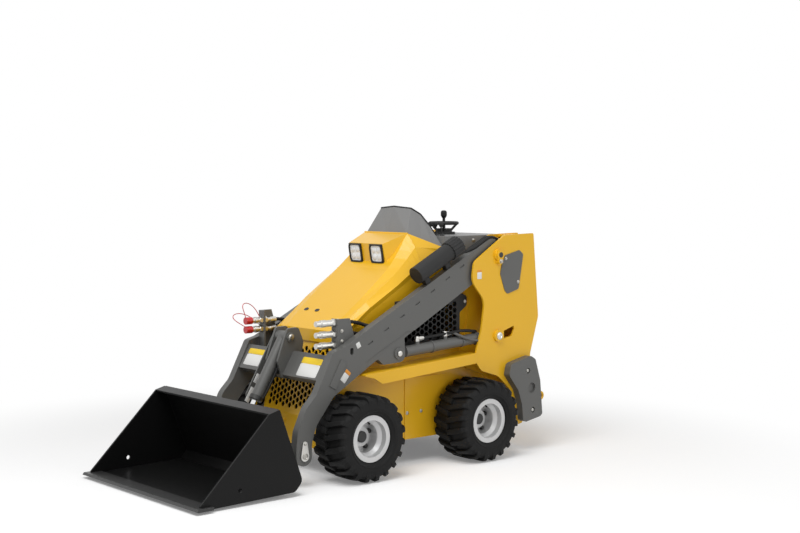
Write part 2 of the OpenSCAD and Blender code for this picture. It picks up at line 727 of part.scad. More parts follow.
// Drive control: a guard ring on posts over a round base
module drive_control() color(plastic_black) placed() translate([-ring_back, 0, 0]) {
    ring_r = (ring_d - ring_bar_d) / 2;
    post_r = control_neck_d / 2 - post_d;
    translate([0, 0, deck_z]) cylinder(d = control_base_d, h = control_base_h);
    translate([0, 0, deck_z]) cylinder(d = control_neck_d, h = control_neck_h);
    translate([0, 0, ring_z]) rotate_extrude() translate([ring_r, 0]) circle(d = ring_bar_d, $fn = 24);
    post = [ring_r - post_r, ring_z - deck_z - control_base_h];
    for (k = [0:post_count - 1]) rotate([0, 0, 360 * (k + 1 / 2) / post_count])
        translate([post_r, 0, deck_z + control_base_h]) rotate([0, atan2(post.x, post.y), 0])
            cylinder(d = post_d, h = norm(post));
}
module drive_lever() color(rubber_black) placed() translate([-ring_back, 0, 0]) {
    neck_z = deck_z + control_neck_h;
    translate([0, 0, neck_z]) cylinder(d = lever_d, h = knob_z - knob_h - neck_z);
    translate([0, 0, knob_z - knob_h]) rotate_extrude()
        polygon([for (s = knob_shares) [s.x * knob_d / 2, s.y * knob_h]]);
}

// Hood with the visor over its lamps; wall insets the shape for its hollow, which is open at the rear and below
function hood_ring(s, x, wall, drop) = let (top = frame_y * s[2] - wall / 2, edge = frame_y + hood_flare - wall)
    let (top_z = hood_z(s[1]) - wall, edge_z = hood_z(s[3]) - wall, side = frame_y - wall, foot_z = hood_z(s[4]))
    let (mid = [(top + edge) / 2 + hood_bulge, (top_z + edge_z) / 2 + hood_bulge])
    let (half = [[top, top_z], mid, [edge, edge_z], [side, foot_z + hood_fold], [side, foot_z - drop]])
    concat([[x, -top, top_z]], [for (p = half) [x, p.x, p.y]], [for (i = [4:-1:1]) [x, -half[i].x, half[i].y]]);
module hood_form(wall, drop) loft([for (i = [hood_last:-1:0]) let (s = hood_shares[i])
    hood_ring(s, hood_x(s[0]) - (i == 0 ? wall : 0) - (i == hood_last && wall > 0 ? overrun : 0), wall, drop)]);
module hood_rear_form(wall, drop) loft([for (i = [1, 0]) let (s = hood_shares[hood_last + i])
    let (beyond = wall == 0 ? 0 : i == 0 ? overrun : -overrun)
    hood_ring(s, hood_x(s[0]) - (i == 0 ? side_gap : 0) + beyond, wall, drop)]);
// Fixed rear part of the hood, with the bead that the hood turns on
module hood_rear() color(paint_yellow) placed() {
    difference() {
        hood_rear_form(0, 0);
        hood_rear_form(hood_t, hood_rise);
    }
    cross_bar(hood_x(hood_hinge_share), hood_z(1), hinge_d, -hinge_y, hinge_y);
}
module visor_form(wall) {
    loft([for (i = [1, 0]) let (s = visor_shares[i], x = hood_x(s[0]) - (i == 0 ? wall : -wall))
        let (foot_x = x - (i == 0 ? visor_lean : 0))
        let (foot_half = frame_y * s[4] - wall, half = frame_y * s[2] - wall) [
            [foot_x, -foot_half, hood_z(s[3])], [x, -half, hood_z(s[1]) - wall],
            [x, half, hood_z(s[1]) - wall], [foot_x, foot_half, hood_z(s[3])]
        ]]);
}
module hood() color(paint_yellow) placed() difference() {
    union() {
        hood_form(0, 0);
        visor_form(0);
    }
    hood_form(hood_t, hood_rise);
    visor_form(hood_t);
    cross_bar(hood_x(hood_hinge_share), hood_z(1), hinge_d + 2 * pin_fit, -hinge_y - overrun, hinge_y + overrun);
    lamp_places() translate([-lamp_depth - overrun, -lamp_w / 2 - seat_gap, -lamp_w / 2 - seat_gap])
        cube([lamp_depth + 2 * overrun, lamp_w + 2 * seat_gap, lamp_w + 2 * seat_gap]);
    lamp_places() translate([-seat_gap, -lamp_room / 2, -lamp_room / 2])
        cube([lamp_rim_t + 2 * overrun, lamp_room, lamp_room]);
}

// Places of the two lamps on the visor's leaning face, with X out of the face
module lamp_places() {
    top_z = hood_z(visor_shares[0][1]);
    foot_z = hood_z(visor_shares[0][3]);
    lean = atan2(visor_lean, top_z - foot_z);
    for (side = [-1, 1])
        translate([hood_x(visor_shares[0][0]) - (top_z - lamp_z) * tan(lean), side * lamp_y, lamp_z])
            rotate([0, lean, 0]) children();
}
module lamp_housings() color(plastic_black) placed() lamp_places() difference() {
    union() {
        translate([-lamp_depth, -lamp_w / 2, -lamp_w / 2]) cube([lamp_depth, lamp_w, lamp_w]);
        translate([seat_gap, -lamp_w / 2 - lamp_rim / 2, -lamp_w / 2 - lamp_rim / 2])
            cube([lamp_rim_t, lamp_w + lamp_rim, lamp_w + lamp_rim]);
        translate([-overrun, -lamp_w / 2, -lamp_w / 2]) cube([2 * overrun, lamp_w, lamp_w]);
    }
    translate([lamp_lens_x, -lens_w / 2, -lens_w / 2]) cube([lamp_rim_t, lens_w, lens_w]);
}
module lamp_lenses() color(lens_clear) placed() lamp_places()
    translate([lamp_lens_x, seat_gap - lens_w / 2, seat_gap - lens_w / 2])
        cube([lamp_lens_t, lens_w - 2 * seat_gap, lens_w - 2 * seat_gap]);

// Lift arm, with a forked lug for its cylinder, bores at both ends, clip slots and a pad on its leg
module arm() {
    difference() {
        union() {
            difference() {
                plate(rounded(arm_points(arm_shares)), arm_in, arm_out);
                plate([for (p = arm_points(lug_step_shares)) [p.x, p.y]], arm_out - lug_step, arm_out + overrun);
            }
            cross_bar(-lug_back, lug_z, lug_boss_d, arm_out - lug_step, arm_out + lug_boss_h);
            translate([pad_x, arm_out, pad_z]) rotate([0, pad_lean, 0])
                translate([-pad_len / 2, 0, -pad_w / 2]) cube([pad_len, pad_t, pad_w]);
        }
        cross_bar(-pivot_back, pivot_z, pivot_pin_d + 2 * pin_fit, arm_in - overrun, arm_out + overrun);
        cross_bar(bucket_pin_x, bucket_pin_z, bucket_pin_d + 2 * pin_fit, arm_in - overrun, arm_out + overrun);
        translate([-lug_back - lug_slot_back, arm_y - lug_slot_w / 2, lug_z - lug_slot_low])
            cube([lug_slot_back + lug_slot_ahead, lug_slot_w, lug_slot_h]);
        cross_bar(-lug_back, lug_z, lug_pin_d + 2 * pin_fit, arm_in - overrun, arm_out + lug_boss_h + overrun);
        on_arm_top() for (k = [0:clip_count - 1])
            translate([clip_start + k * clip_step, arm_w / 2 - clip_depth, k * clip_rise - clip_drop])
                cube([clip_len, clip_depth + overrun, clip_h]);
        for (z = [oval_z - oval_h / 2, oval_z + oval_h / 2])
            cross_bar(oval_x, z, oval_w, arm_in - overrun, arm_out + overrun);
        translate([oval_x - oval_w / 2, arm_in - overrun, oval_z - oval_h / 2])
            cube([oval_w, arm_w + 2 * overrun, oval_h]);
    }
}
module arm_left() color(paint_grey) placed() arm();
module arm_right() color(paint_grey) placed() mirror([0, 1, 0]) arm();

// Cross beam between the arms with the tilt cylinder's bracket plates
function arm_points(shares) = scaled(shares, -pivot_back, pivot_z, arm_reach, -arm_drop);
module cross_beam() color(paint_grey) placed() difference() {
    union() {
        plate([for (p = arm_points(beam_shares)) [p.x, p.y]], -arm_in, arm_in);
        both_sides() {
            plate(rounded(arm_points(bracket_shares)), bracket_gap / 2, bracket_y);
            cross_bar(tilt_pin_x, tilt_pin_z, pin_head_d, bracket_y, bracket_y + pin_head_t);
        }
    }
    cross_bar(tilt_pin_x, tilt_pin_z, tilt_pin_d + 2 * pin_fit, -bracket_y, bracket_y);
}

// Lock bar for the raised arms, stowed beside the tilt cylinder
module lock_bar() color(paint_grey) placed() on_tilt() {
    face = -bracket_y - pin_head_t;
    translate([0, face - lock_bar_t, -lock_bar_w / 2]) cube([lock_bar_len, lock_bar_t, lock_bar_w]);
    for (x = [0, lock_bar_len]) cross_bar(x, 0, lock_bar_w, face - lock_bar_t, face);
}

module coupler_brackets() color(paint_grey) placed() both_sides() {
    height = coupler_bracket_top_z - coupler_bracket_foot_z;
    gusset = scaled(coupler_gusset_shares, coupler_x - coupler_gusset_len, coupler_bracket_foot_z,
        coupler_gusset_len, height);
    translate([coupler_x, arm_in - coupler_bracket_w, coupler_bracket_foot_z])
        cube([coupler_bracket_t, coupler_bracket_w, height]);
    plate([for (p = gusset) [p.x, p.y]], arm_in - coupler_bracket_t, arm_in);
}

// A hexagonal bar forward from x0 to x1
module nut_bar(x0, x1, y, z) translate([x0, y, z]) rotate([0, 90, 0])
    cylinder(d = nut_af / cos(30), h = x1 - x0, $fn = 6);

// One coupler ahead of its bracket and its hose fitting behind it
module coupler(z, length) {
    front = coupler_x + coupler_bracket_t;
    nut_bar(front, front + nut_len, coupler_y, z);
    long_bar(front, front + length / 2, coupler_y, z, coupler_body_d);
    long_bar(front + length / 2, front + length * 3 / 4, coupler_y, z, coupler_collar_d);
    long_bar(front + length / 2, front + length, coupler_y, z, coupler_d);
    nut_bar(coupler_x - nut_len, coupler_x, coupler_y, z);
    long_bar(coupler_x - fitting_len, coupler_x, coupler_y, z, fitting_d);
    long_bar(coupler_x - fitting_len, coupler_x - fitting_len / 2, coupler_y, z, ferrule_d);
}
module couplers() color(zinc) placed() {
    for (z = coupler_left_z) coupler(z, coupler_len);
    mirror([0, 1, 0]) for (z = coupler_right_z) coupler(z, coupler_right_len);
}

// A hose as a tube round the cubic curve of four points
function along_hose(p, t) =
    p[0] * pow(1 - t, 3) + 3 * p[1] * t * pow(1 - t, 2) + 3 * p[2] * t * t * (1 - t) + p[3] * pow(t, 3);
function hose_way(p, t) =
    unit((p[1] - p[0]) * pow(1 - t, 2) + 2 * (p[2] - p[1]) * t * (1 - t) + (p[3] - p[2]) * t * t);
module hose(p) loft([for (i = [0:hose_rings]) let (t = i / hose_rings, c = along_hose(p, t), w = hose_way(p, t))
    let (u = unit(cross(w, [0, 0, 1])), v = cross(w, u))
    [for (k = [0:hose_sides - 1]) let (turn = 360 * k / hose_sides)
        c + hose_d / 2 * (cos(turn) * u + sin(turn) * v)]]);
module coupler_hose(z) {
    from = [coupler_x - fitting_len, coupler_y, z];
    to = [coupler_x - fitting_len - hose_run, arm_in, z - hose_drop];
    hose([from, from - [hose_bend, 0, 0], to - [0, hose_bend, 0], to]);
}
module coupler_hoses() color(rubber_black) placed() {
    for (z = coupler_left_z) coupler_hose(z);
    mirror([0, 1, 0]) for (z = coupler_right_z) coupler_hose(z);
}
module dust_caps() color(cap_red) placed() mirror([0, 1, 0]) for (z = coupler_right_z)
    translate([coupler_x + coupler_bracket_t + coupler_right_len, 0, 0]) long_bar(0, cap_len, coupler_y, z, cap_d);

// The top edge of the left arm as a frame: X up along the edge from the elbow, Z square to it
module on_arm_top() {
    points = arm_points(arm_shares);
    elbow = points[len(points) - 1];
    heel = points[0];
    translate([elbow.x, arm_y, elbow.y]) rotate([0, -atan2(heel.y - elbow.y, heel.x - elbow.x), 0])
        mirror([0, 0, 1]) children();
}
module document_tube() color(plastic_black) placed() on_arm_top() {
    translate([tube_start, 0, tube_lift]) rotate([0, 90, 0]) cylinder(d = tube_d, h = tube_len);
    for (x = [tube_start + tube_foot_w, tube_start + tube_len - 2 * tube_foot_w])
        translate([x, -tube_foot_w / 2, 0]) cube([tube_foot_w, tube_foot_w, tube_lift]);
}
module document_cap() color(plastic_black) placed() on_arm_top()
    translate([tube_start + tube_len, 0, tube_lift]) rotate([0, 90, 0]) linear_extrude(tube_cap_len)
        polygon([for (k = [0:4 * tube_cap_ribs - 1]) let (r = tube_cap_d / 2 * (k % 4 < 2 ? 1 : tube_rib_share))
            r * [cos(90 * k / tube_cap_ribs), sin(90 * k / tube_cap_ribs)]]);

// Bucket pins with their retainers on the outside of the arms
module bucket_pins() color(zinc) placed() both_sides() {
    cross_bar(bucket_pin_x, bucket_pin_z, bucket_pin_d, arm_in - side_gap - ear_t, arm_out);
    cross_bar(bucket_pin_x, bucket_pin_z, pin_head_d, arm_out, arm_out + retainer_t);
    cross_bar(bucket_pin_x, bucket_pin_z + retainer_h, retainer_d, arm_out, arm_out + retainer_t);
    plate([[bucket_pin_x - pin_head_d / 2, bucket_pin_z], [bucket_pin_x + pin_head_d / 2, bucket_pin_z],
        [bucket_pin_x + retainer_d / 2, bucket_pin_z + retainer_h],
        [bucket_pin_x - retainer_d / 2, bucket_pin_z + retainer_h]], arm_out, arm_out + retainer_t);
}

// Frame of a lift cylinder: X from its eye on the arm towards the tower
module on_lift() translate([-lug_back, arm_y, lug_z]) rotate([0, lift_angle, 0]) mirror([1, 0, 0]) children();
module lift_barrel() on_lift() {
    difference() {
        union() {
            cross_bar(0, 0, lift_eye_d, -lift_eye_w / 2, lift_eye_w / 2);
            translate([0, -lift_eye_w / 2, -lift_eye_w]) cube([lift_base_at, lift_eye_w, 2 * lift_eye_w]);
            long_bar(lift_base_at, lift_barrel_len, 0, 0, lift_barrel_d);
            for (x = port_at) translate([x, 0, 0]) cylinder(d = port_d, h = port_h);
            cross_bar(0, 0, lug_pin_d, -arm_w / 2 - pin_head_t, arm_w / 2 + pin_head_t);
        }
        long_bar(lift_bore_at, lift_barrel_len + overrun, 0, 0, lift_rod_d + 2 * pin_fit);
    }
}
module lift_barrel_left() color(paint_grey) placed() lift_barrel();
module lift_barrel_right() color(paint_grey) placed() mirror([0, 1, 0]) lift_barrel();
module lift_rod() on_lift() {
    long_bar(lift_len - lift_rod_len, lift_len, 0, 0, lift_rod_d);
    cross_bar(lift_len, 0, lift_rod_eye_d, -lift_rod_eye_w / 2, lift_rod_eye_w / 2);
    cross_bar(lift_len, 0, lift_rod_pin_d, tower_inner_face + seat_gap - arm_y,
        tower_outer_face - seat_gap - arm_y);
}
module lift_rod_left() color(rim_silver) placed() lift_rod();
module lift_rod_right() color(rim_silver) placed() mirror([0, 1, 0]) lift_rod();

// Frame of the tilt cylinder: X from its eye on the bracket towards the attachment plate
module on_tilt() translate([tilt_pin_x, 0, tilt_pin_z]) rotate([0, tilt_angle, 0]) children();
module tilt_barrel() color(paint_grey) placed() on_tilt() difference() {
    union() {
        cross_bar(0, 0, tilt_eye_d, -bracket_gap / 2 + side_gap, bracket_gap / 2 - side_gap);
        long_bar(0, tilt_barrel_len, 0, 0, tilt_barrel_d);
        cross_bar(0, 0, tilt_pin_d, seat_gap - bracket_y, bracket_y - seat_gap);
    }
    long_bar(tilt_bore_at, tilt_barrel_len + overrun, 0, 0, tilt_rod_d + 2 * pin_fit);
}
module tilt_rod() color(rim_silver) placed() on_tilt() {
    long_bar(tilt_len - tilt_rod_len, tilt_len, 0, 0, tilt_rod_d);
    cross_bar(tilt_len, 0, tilt_rod_eye_d, -tilt_eye_w / 2, tilt_eye_w / 2);
}

// Bucket sheet: floor, heel, back and top lip in one bent plate
module bucket_shell() color(bucket_black) placed() {
    back = scaled(bucket_sheet_shares, bucket_back, bucket_floor_z, bucket_len, bucket_h);
    outside = concat([bucket_tip], [for (p = back) [p.x, p.y]]);
    ways = [for (i = [0:len(outside) - 2]) unit(outside[i + 1] - outside[i])];
    inside = concat([bucket_tip - [0, bucket_t / ways[0].x]], [for (i = [1:len(outside) - 1])
        let (a = ways[i - 1], b = ways[min(i, len(ways) - 1)], half = unit([a.y + b.y, -a.x - b.x]))
        outside[i] + half * bucket_t / (half * [a.y, -a.x])]);
    plate(concat(outside, [for (i = [len(inside) - 1:-1:0]) inside[i]]), -bucket_y, bucket_y);
}
module bucket_sides() color(bucket_black) placed() both_sides() difference() {
    front = [[bucket_back + bucket_len, bucket_floor_z + edge_t, edge_t / 4],
        [bucket_tip.x, bucket_floor_z + edge_t, 0], [bucket_tip.x, bucket_tip.y, 0]];
    rear = scaled(bucket_side_shares, bucket_back, bucket_floor_z, bucket_len, bucket_h);
    plate(rounded(concat(front, rear)), bucket_y, bucket_w / 2);
    cross_bar(bucket_back + bucket_hole_share.x * bucket_len, bucket_floor_z + bucket_hole_share.y * bucket_h,
        bucket_hole_d, bucket_y - overrun, bucket_w / 2 + overrun);
}
module cutting_edge() color(paint_grey) placed()
    plate([[front_reach - edge_len, bucket_floor_z], [front_reach - edge_bevel, bucket_floor_z],
        [front_reach, bucket_floor_z + edge_bevel / 2], [front_reach - edge_bevel, bucket_floor_z + edge_t],
        [front_reach - edge_len, bucket_floor_z + edge_t]], -edge_w / 2, edge_w / 2);

// Attachment plate behind the bucket, with ears for the bucket pins and lugs for the tilt rod
module attach_plate() color(paint_grey) placed() {
    back = scaled(bucket_sheet_shares, bucket_back, bucket_floor_z, bucket_len, bucket_h);
    heel = [back[1].x, back[1].y];
    along = unit([back[2].x, back[2].y] - heel);
    out = [-along.y, along.x];
    foot = heel + along * plate_start;
    top = foot + along * plate_h;
    face = foot + out * plate_thick;
    sill = foot + along * window_at;
    ear_low = face;
    ear_high = face + along * plate_h / 2;
    ear_y = plate_w / 2;
    pin = [bucket_pin_x, bucket_pin_z];
    lug_tip = [tilt_eye_x, tilt_eye_z] + out * ear_d / 4;
    difference() {
        union() {
            plate([foot, top, top + out * plate_thick, foot + out * plate_thick], -plate_w / 2, plate_w / 2);
            both_sides() {
                plate([ear_low, ear_high, pin + along * ear_d / 2, pin - along * ear_d / 2], ear_y - ear_t, ear_y);
                cross_bar(pin.x, pin.y, ear_d, ear_y - ear_t, ear_y);
                plate([face + along * (window_at - lug_t), face + along * plate_h, lug_tip + along * ear_d / 3,
                    lug_tip - along * ear_d / 3], lug_gap / 2, lug_gap / 2 + lug_t);
            }
        }
        both_sides() cross_bar(pin.x, pin.y, bucket_pin_d + 2 * pin_fit, ear_y - ear_t - overrun, ear_y + overrun);
        plate([sill - out * overrun, sill + along * window_h - out * overrun,
            sill + along * window_h + out * (plate_thick + overrun), sill + out * (plate_thick + overrun)],
            -lug_gap / 2, lug_gap / 2);
    }
}

// A wheel's place, with the wheel's outside along +Z of the shape
module wheel_place(x, side) placed() translate([x, side * wheel_y, tyre_r]) rotate([-side * 90, 0, 0]) children();

// Tyre between the flanges of its rim: rings of corners round the wheel, alternate lugs on its two sides, and
// plainer rings at its beads
function lug_corner(k, side) = side > 0 ? k : k + 2;
function tread_point(s, k, side) = let (q = lug_corner(k, side), c = q % 4, top = lug_tops[c])
    let (phase = floor(q / 4) + lug_phase_shares[c] - (side > 0 ? 0 : 0.5))
    let (turn = 360 / lug_count * (phase + s[4]))
    let (r = rim_r + (tyre_r - rim_r) * (top == 1 ? s[3] : s[1]), y = tyre_w / 2 * (top == 1 ? s[2] : s[0]))
    [r * cos(turn), r * sin(turn), side * y];
function bead_point(r, k, y) = let (turn = 360 / lug_count * (k + 0.5 + tread_shares[3][4]))
    [r / cos(180 / lug_count) * cos(turn), r / cos(180 / lug_count) * sin(turn), y];
module tyre() {
    n = lug_count;
    m = 4 * n;
    bead = rim_w / 2 - flange_t - seat_gap;
    tread = [for (row = [[3, -1], [2, -1], [1, -1], [0, -1], [0, 1], [1, 1], [2, 1], [3, 1]], k = [0:m - 1])
        tread_point(tread_shares[row[0]], k, row[1])];
    beads = [for (row = [[flange_r, bead], [rim_r, bead], [rim_r, -bead], [flange_r, -bead]], k = [0:n - 1])
        bead_point(row[0] + seat_gap, k, row[1])];
    outer = [for (i = [0:6], k = [0:m - 1]) each
        let (a = i * m + k, b = i * m + (k + 1) % m) [[a, a + m, b], [b, a + m, b + m]]];
    inner = [for (i = [0:2], k = [0:n - 1]) each
        let (a = 8 * m + i * n + k, b = 8 * m + i * n + (k + 1) % n) [[a, a + n, b], [b, a + n, b + n]]];
    left = [for (k = [0:n - 1]) each let (f = 7 * m, c = 8 * m + k, next = 8 * m + (k + 1) % n)
        concat([for (q = [0:3]) [f + 4 * k + q, c, f + (4 * k + q + 1) % m]], [[f + (4 * k + 4) % m, c, next]])];
    right = [for (k = [0:n - 1]) each let (c = 8 * m + 3 * n + k, next = 8 * m + 3 * n + (k + 1) % n)
        concat([for (q = [0:3]) [c, 4 * k + q, (4 * k + q + 1) % m]], [[c, (4 * k + 4) % m, next]])];
    polyhedron(concat(tread, beads), concat(outer, inner, left, right));
}

// Rim with flanges, bead seats, a drop centre and a deep disc, revolved round the stub axle
module rim() {
    half = rim_w / 2;
    disc_y = half - disc_depth;
    rotate_extrude() difference() {
        union() {
            polygon([[rim_r - rim_t, -half], [flange_r, -half], [flange_r, -half + flange_t],
                [rim_r, -half + flange_t],
                [rim_r, disc_y - disc_t - hub_in], [drop_r, disc_y - disc_t], [drop_r, half / 2],
                [rim_r, half / 2 + rim_r - drop_r], [rim_r, half - flange_t], [flange_r, half - flange_t],
                [flange_r, half], [rim_r - rim_t, half], [rim_r - rim_t, half / 2 + rim_r - drop_r],
                [drop_r - rim_t, half / 2], [drop_r - rim_t, disc_y - disc_t],
                [rim_r - rim_t, disc_y - disc_t - hub_in]]);
            translate([0, disc_y - disc_t]) square([drop_r - rim_t / 2, disc_t]);
            translate([0, disc_y - hub_in]) square([hub_d / 2, hub_in + hub_out]);
        }
        translate([0, disc_y - hub_in - overrun]) square([axle_d / 2 + pin_fit, 2 * hub_in + overrun]);
    }
}
module tyre_front_left() color(rubber_black) wheel_place(0, 1) tyre();
module tyre_front_right() color(rubber_black) wheel_place(0, -1) tyre();
module tyre_rear_left() color(rubber_black) wheel_place(-wheelbase, 1) tyre();
module tyre_rear_right() color(rubber_black) wheel_place(-wheelbase, -1) tyre();
module rim_front_left() color(rim_silver) wheel_place(0, 1) rim();
module rim_front_right() color(rim_silver) wheel_place(0, -1) rim();
module rim_rear_left() color(rim_silver) wheel_place(-wheelbase, 1) rim();
module rim_rear_right() color(rim_silver) wheel_place(-wheelbase, -1) rim();

frame_side_left();
frame_side_right();
belly_plate();
front_panel();
rear_panel();
engine_block();
wheel_motors();
side_ledges();
side_grilles();
tower_left();
tower_right();
tower_covers();
rear_weights();
lashing_eyes();
rear_buffers();
arm_pins();
console();
cowl();
drive_control();
drive_lever();
hood_rear();
side_covers();
hood();
lamp_housings();
lamp_lenses();
arm_left();
arm_right();
cross_beam();
lock_bar();
coupler_brackets();
couplers();
coupler_hoses();
dust_caps();
document_tube();
document_cap();
bucket_pins();
lift_barrel_left();
lift_barrel_right();
lift_rod_left();
lift_rod_right();
tilt_barrel();
tilt_rod();
bucket_shell();
bucket_sides();
cutting_edge();
attach_plate();
tyre_front_left();
tyre_front_right();
tyre_rear_left();
tyre_rear_right();
rim_front_left();
rim_front_right();
rim_rear_left();
rim_rear_right();
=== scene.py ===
"""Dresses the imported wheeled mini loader: finishes for its CAD pieces, small fittings, and a pale studio."""

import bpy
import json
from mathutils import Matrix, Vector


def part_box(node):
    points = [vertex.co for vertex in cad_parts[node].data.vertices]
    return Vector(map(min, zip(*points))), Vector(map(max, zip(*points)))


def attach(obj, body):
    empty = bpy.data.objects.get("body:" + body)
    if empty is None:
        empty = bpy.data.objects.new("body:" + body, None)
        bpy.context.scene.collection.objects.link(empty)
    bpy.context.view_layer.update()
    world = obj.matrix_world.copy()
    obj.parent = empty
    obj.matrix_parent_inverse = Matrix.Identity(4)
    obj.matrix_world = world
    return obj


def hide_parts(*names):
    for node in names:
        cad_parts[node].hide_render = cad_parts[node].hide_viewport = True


bl_info = {
    "name": "Wheeled mini loader",
    "version": (1, 0, 0),
    "blender": (4, 5, 0),
    "location": "View3D > Sidebar > Loader",
    "description": "Finishes, fittings and a studio for the packed wheeled mini loader",
    "category": "Object",
}

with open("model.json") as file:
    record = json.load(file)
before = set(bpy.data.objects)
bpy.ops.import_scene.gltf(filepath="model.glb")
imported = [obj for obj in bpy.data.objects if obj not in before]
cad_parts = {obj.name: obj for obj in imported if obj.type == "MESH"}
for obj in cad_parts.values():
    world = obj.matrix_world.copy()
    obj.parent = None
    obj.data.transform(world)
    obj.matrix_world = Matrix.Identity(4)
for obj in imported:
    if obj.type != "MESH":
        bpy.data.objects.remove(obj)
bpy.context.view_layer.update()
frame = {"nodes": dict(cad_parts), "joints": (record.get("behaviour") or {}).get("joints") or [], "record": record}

import json
import math

import bpy
import numpy as np
from bpy.props import FloatProperty, FloatVectorProperty, PointerProperty

MM = 0.001
FORWARD, LEFT, UP = np.eye(3)
SIDES = (("left", 1), ("right", -1))
# Each wheel's body and the middle of the wheel
WHEELS = [(j["child"], np.array(j["pos_m"])) for j in frame["joints"] if j["name"].endswith("_spin")]
AXLE_X = dict(WHEELS)["wheel_front_left"][0]


def at(x, y, z):
    """A place in metres from millimetres ahead of the front axle, left of the middle and above the ground."""
    return np.array((AXLE_X + x * MM, y * MM, z * MM))


def places(points):
    """Several places, each given as for at()."""
    return [at(*point) for point in points]


def grid_faces(rows, columns, wrap_rows=False, wrap_columns=False):
    """Quads between neighbours of a rows-by-columns grid of vertices, closed round in either way if asked."""
    r = np.arange(rows if wrap_rows else rows - 1)[:, None]
    c = np.arange(columns if wrap_columns else columns - 1)[None, :]
    r1, c1 = (r + 1) % rows, (c + 1) % columns
    corners = (r * columns + c, r * columns + c1, r1 * columns + c1, r1 * columns + c)
    return np.stack(np.broadcast_arrays(*corners), -1).reshape(-1, 4)


def capped_faces(rows, columns):
    """The quads of a grid that is closed round its columns, with its first and last rows as end faces."""
    ends = [list(range(columns))[::-1], list(range((rows - 1) * columns, rows * columns))]
    return grid_faces(rows, columns, wrap_columns=True).tolist() + ends


def unit(v):
    """A vector, or each row of an array of vectors, at length one."""
    v = np.asarray(v, float)
    return v / np.linalg.norm(v, axis=-1, keepdims=True)


def join(*parts):
    """Several (points, faces) shapes as one, each one's faces counted on from the points before it."""
    points, faces, start = [], [], 0
    for p, f in parts:
        points.append(np.asarray(p).reshape(-1, 3))
        faces += [[int(k) + start for k in face] for face in f]
        start += len(points[-1])
    return np.concatenate(points), faces


def mirrored(part):
    """The shape's mirror image on the right side, with its faces turned round to point outwards."""
    points, faces = part
    return np.asarray(points).reshape(-1, 3) * (1, -1, 1), [list(face)[::-1] for face in faces]


def both_sides(*parts):
    """Some shapes of the left side as one, together with their mirror image."""
    part = join(*parts)
    return join(part, mirrored(part))


def turned(profile, where, axis, half=None, up=None, power=2.0, sides=20):
    """A profile of (inset, height) pairs in millimetres, carried round a closed curve at each place, with
    both ends capped. The curve is the superellipse |x/a|^n + |y/b|^n = 1: a circle at n = 2, nearly a
    rectangle at a high n. A point is the place + x(t) u + y(t) v + height w, where w is the axis. Without
    half sizes the profile gives radii, not insets."""
    w = unit(axis)
    if up is None:
        up = np.cross(w, LEFT if abs(w @ LEFT) < 0.9 else FORWARD)
    v = unit(unit(up) - w * (unit(up) @ w))
    u = np.cross(v, w)
    inset, height = np.asarray(profile, float).T[..., None] * MM
    t = np.linspace(0, 2 * np.pi, sides, endpoint=False)
    c, s = np.cos(t), np.sin(t)
    x, y = np.sign(c) * np.abs(c) ** (2 / power), np.sign(s) * np.abs(s) ** (2 / power)
    a, b = (inset, inset) if half is None else (half[0] * MM - inset, half[1] * MM - inset)
    one = (a * x)[..., None] * u + (b * y)[..., None] * v + (height + 0 * x)[..., None] * w
    faces = capped_faces(len(one), sides)
    return join(*[(one + place, faces) for place in np.atleast_2d(where)])


def tube(path, diameter, sides=14):
    """A circle carried along a path of points, with capped ends: each ring lies square to the path's way w,
    on u = w x r and v = w x u for a fixed direction r."""
    path = np.asarray(path, float)
    w = unit(np.gradient(path, axis=0))
    u = unit(np.cross(w, np.eye(3)[np.argmin(np.abs(w).max(0))]))
    v = np.cross(w, u)
    t = np.linspace(0, 2 * np.pi, sides, endpoint=False)[None, :, None]
    rings = path[:, None] + diameter / 2 * (np.cos(t) * u[:, None] + np.sin(t) * v[:, None])
    return rings, capped_faces(len(path), sides)


def bend(points, count):
    """The Bezier curve of some control points: each weighs binomial(n, k) t^k (1 - t)^(n - k)."""
    points = np.asarray(points, float)
    n = len(points) - 1
    k = np.arange(n + 1)
    t = np.linspace(0, 1, count)[:, None]
    weight = np.array([math.comb(n, i) for i in k]) * t**k * (1 - t) ** (n - k)
    return weight @ points


def run_through(points, step):
    """A path along straight runs between points, with a point about every step of its length."""
    points = np.asarray(points, float)
    far = np.concatenate([[0], np.cumsum(np.linalg.norm(np.diff(points, axis=0), axis=1))])
    s = np.linspace(0, far[-1], max(2, int(far[-1] / step) + 1))
    return np.stack([np.interp(s, far, points[:, k]) for k in range(3)], -1)


# Bolt sizes in millimetres: across flats, height of the head, diameter of the washer
SMALL_BOLT = (13, 6, 20)
BRACKET_BOLT = (13, 7, 20)
FLAG_BOLT = (17, 8, 24)
WEIGHT_BOLT = (18, 9, 28)


def bolt(where, axis, size=SMALL_BOLT):
    """Hexagon bolt heads on washers: a six-sided profile with a chamfer over a round one."""
    across, height, washer = size
    corner, rim = across / math.sqrt(3), washer / 2
    disc = [(rim, 0), (rim, 2), (rim - 1, 2.6)]
    head = [(corner, 2.4), (corner, height), (corner - 1.5, height + 1.2), (corner - 4, height + 1.4)]
    return join(turned(disc, where, axis, sides=24), turned(head, where, axis, sides=6))


def put_mesh(name, part, body, slot, finish=None, sharp=40.0):
    """A mesh object at the origin from a (points, faces) shape, which rides on a body. Its finish is the
    slot's own unless another is named; edges sharper than some degrees stay sharp."""
    points, faces = part
    mesh = bpy.data.meshes.new(name)
    mesh.from_pydata(np.asarray(points).reshape(-1, 3).tolist(), [], [list(map(int, f)) for f in faces])
    mesh.update()
    mesh.shade_smooth()
    mesh.set_sharp_from_angle(angle=math.radians(sharp))
    mesh.materials.append(bpy.data.materials[finish or slot])
    piece = bpy.data.objects.new(name, mesh)
    bpy.context.scene.collection.objects.link(piece)
    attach(piece, body)
    return piece


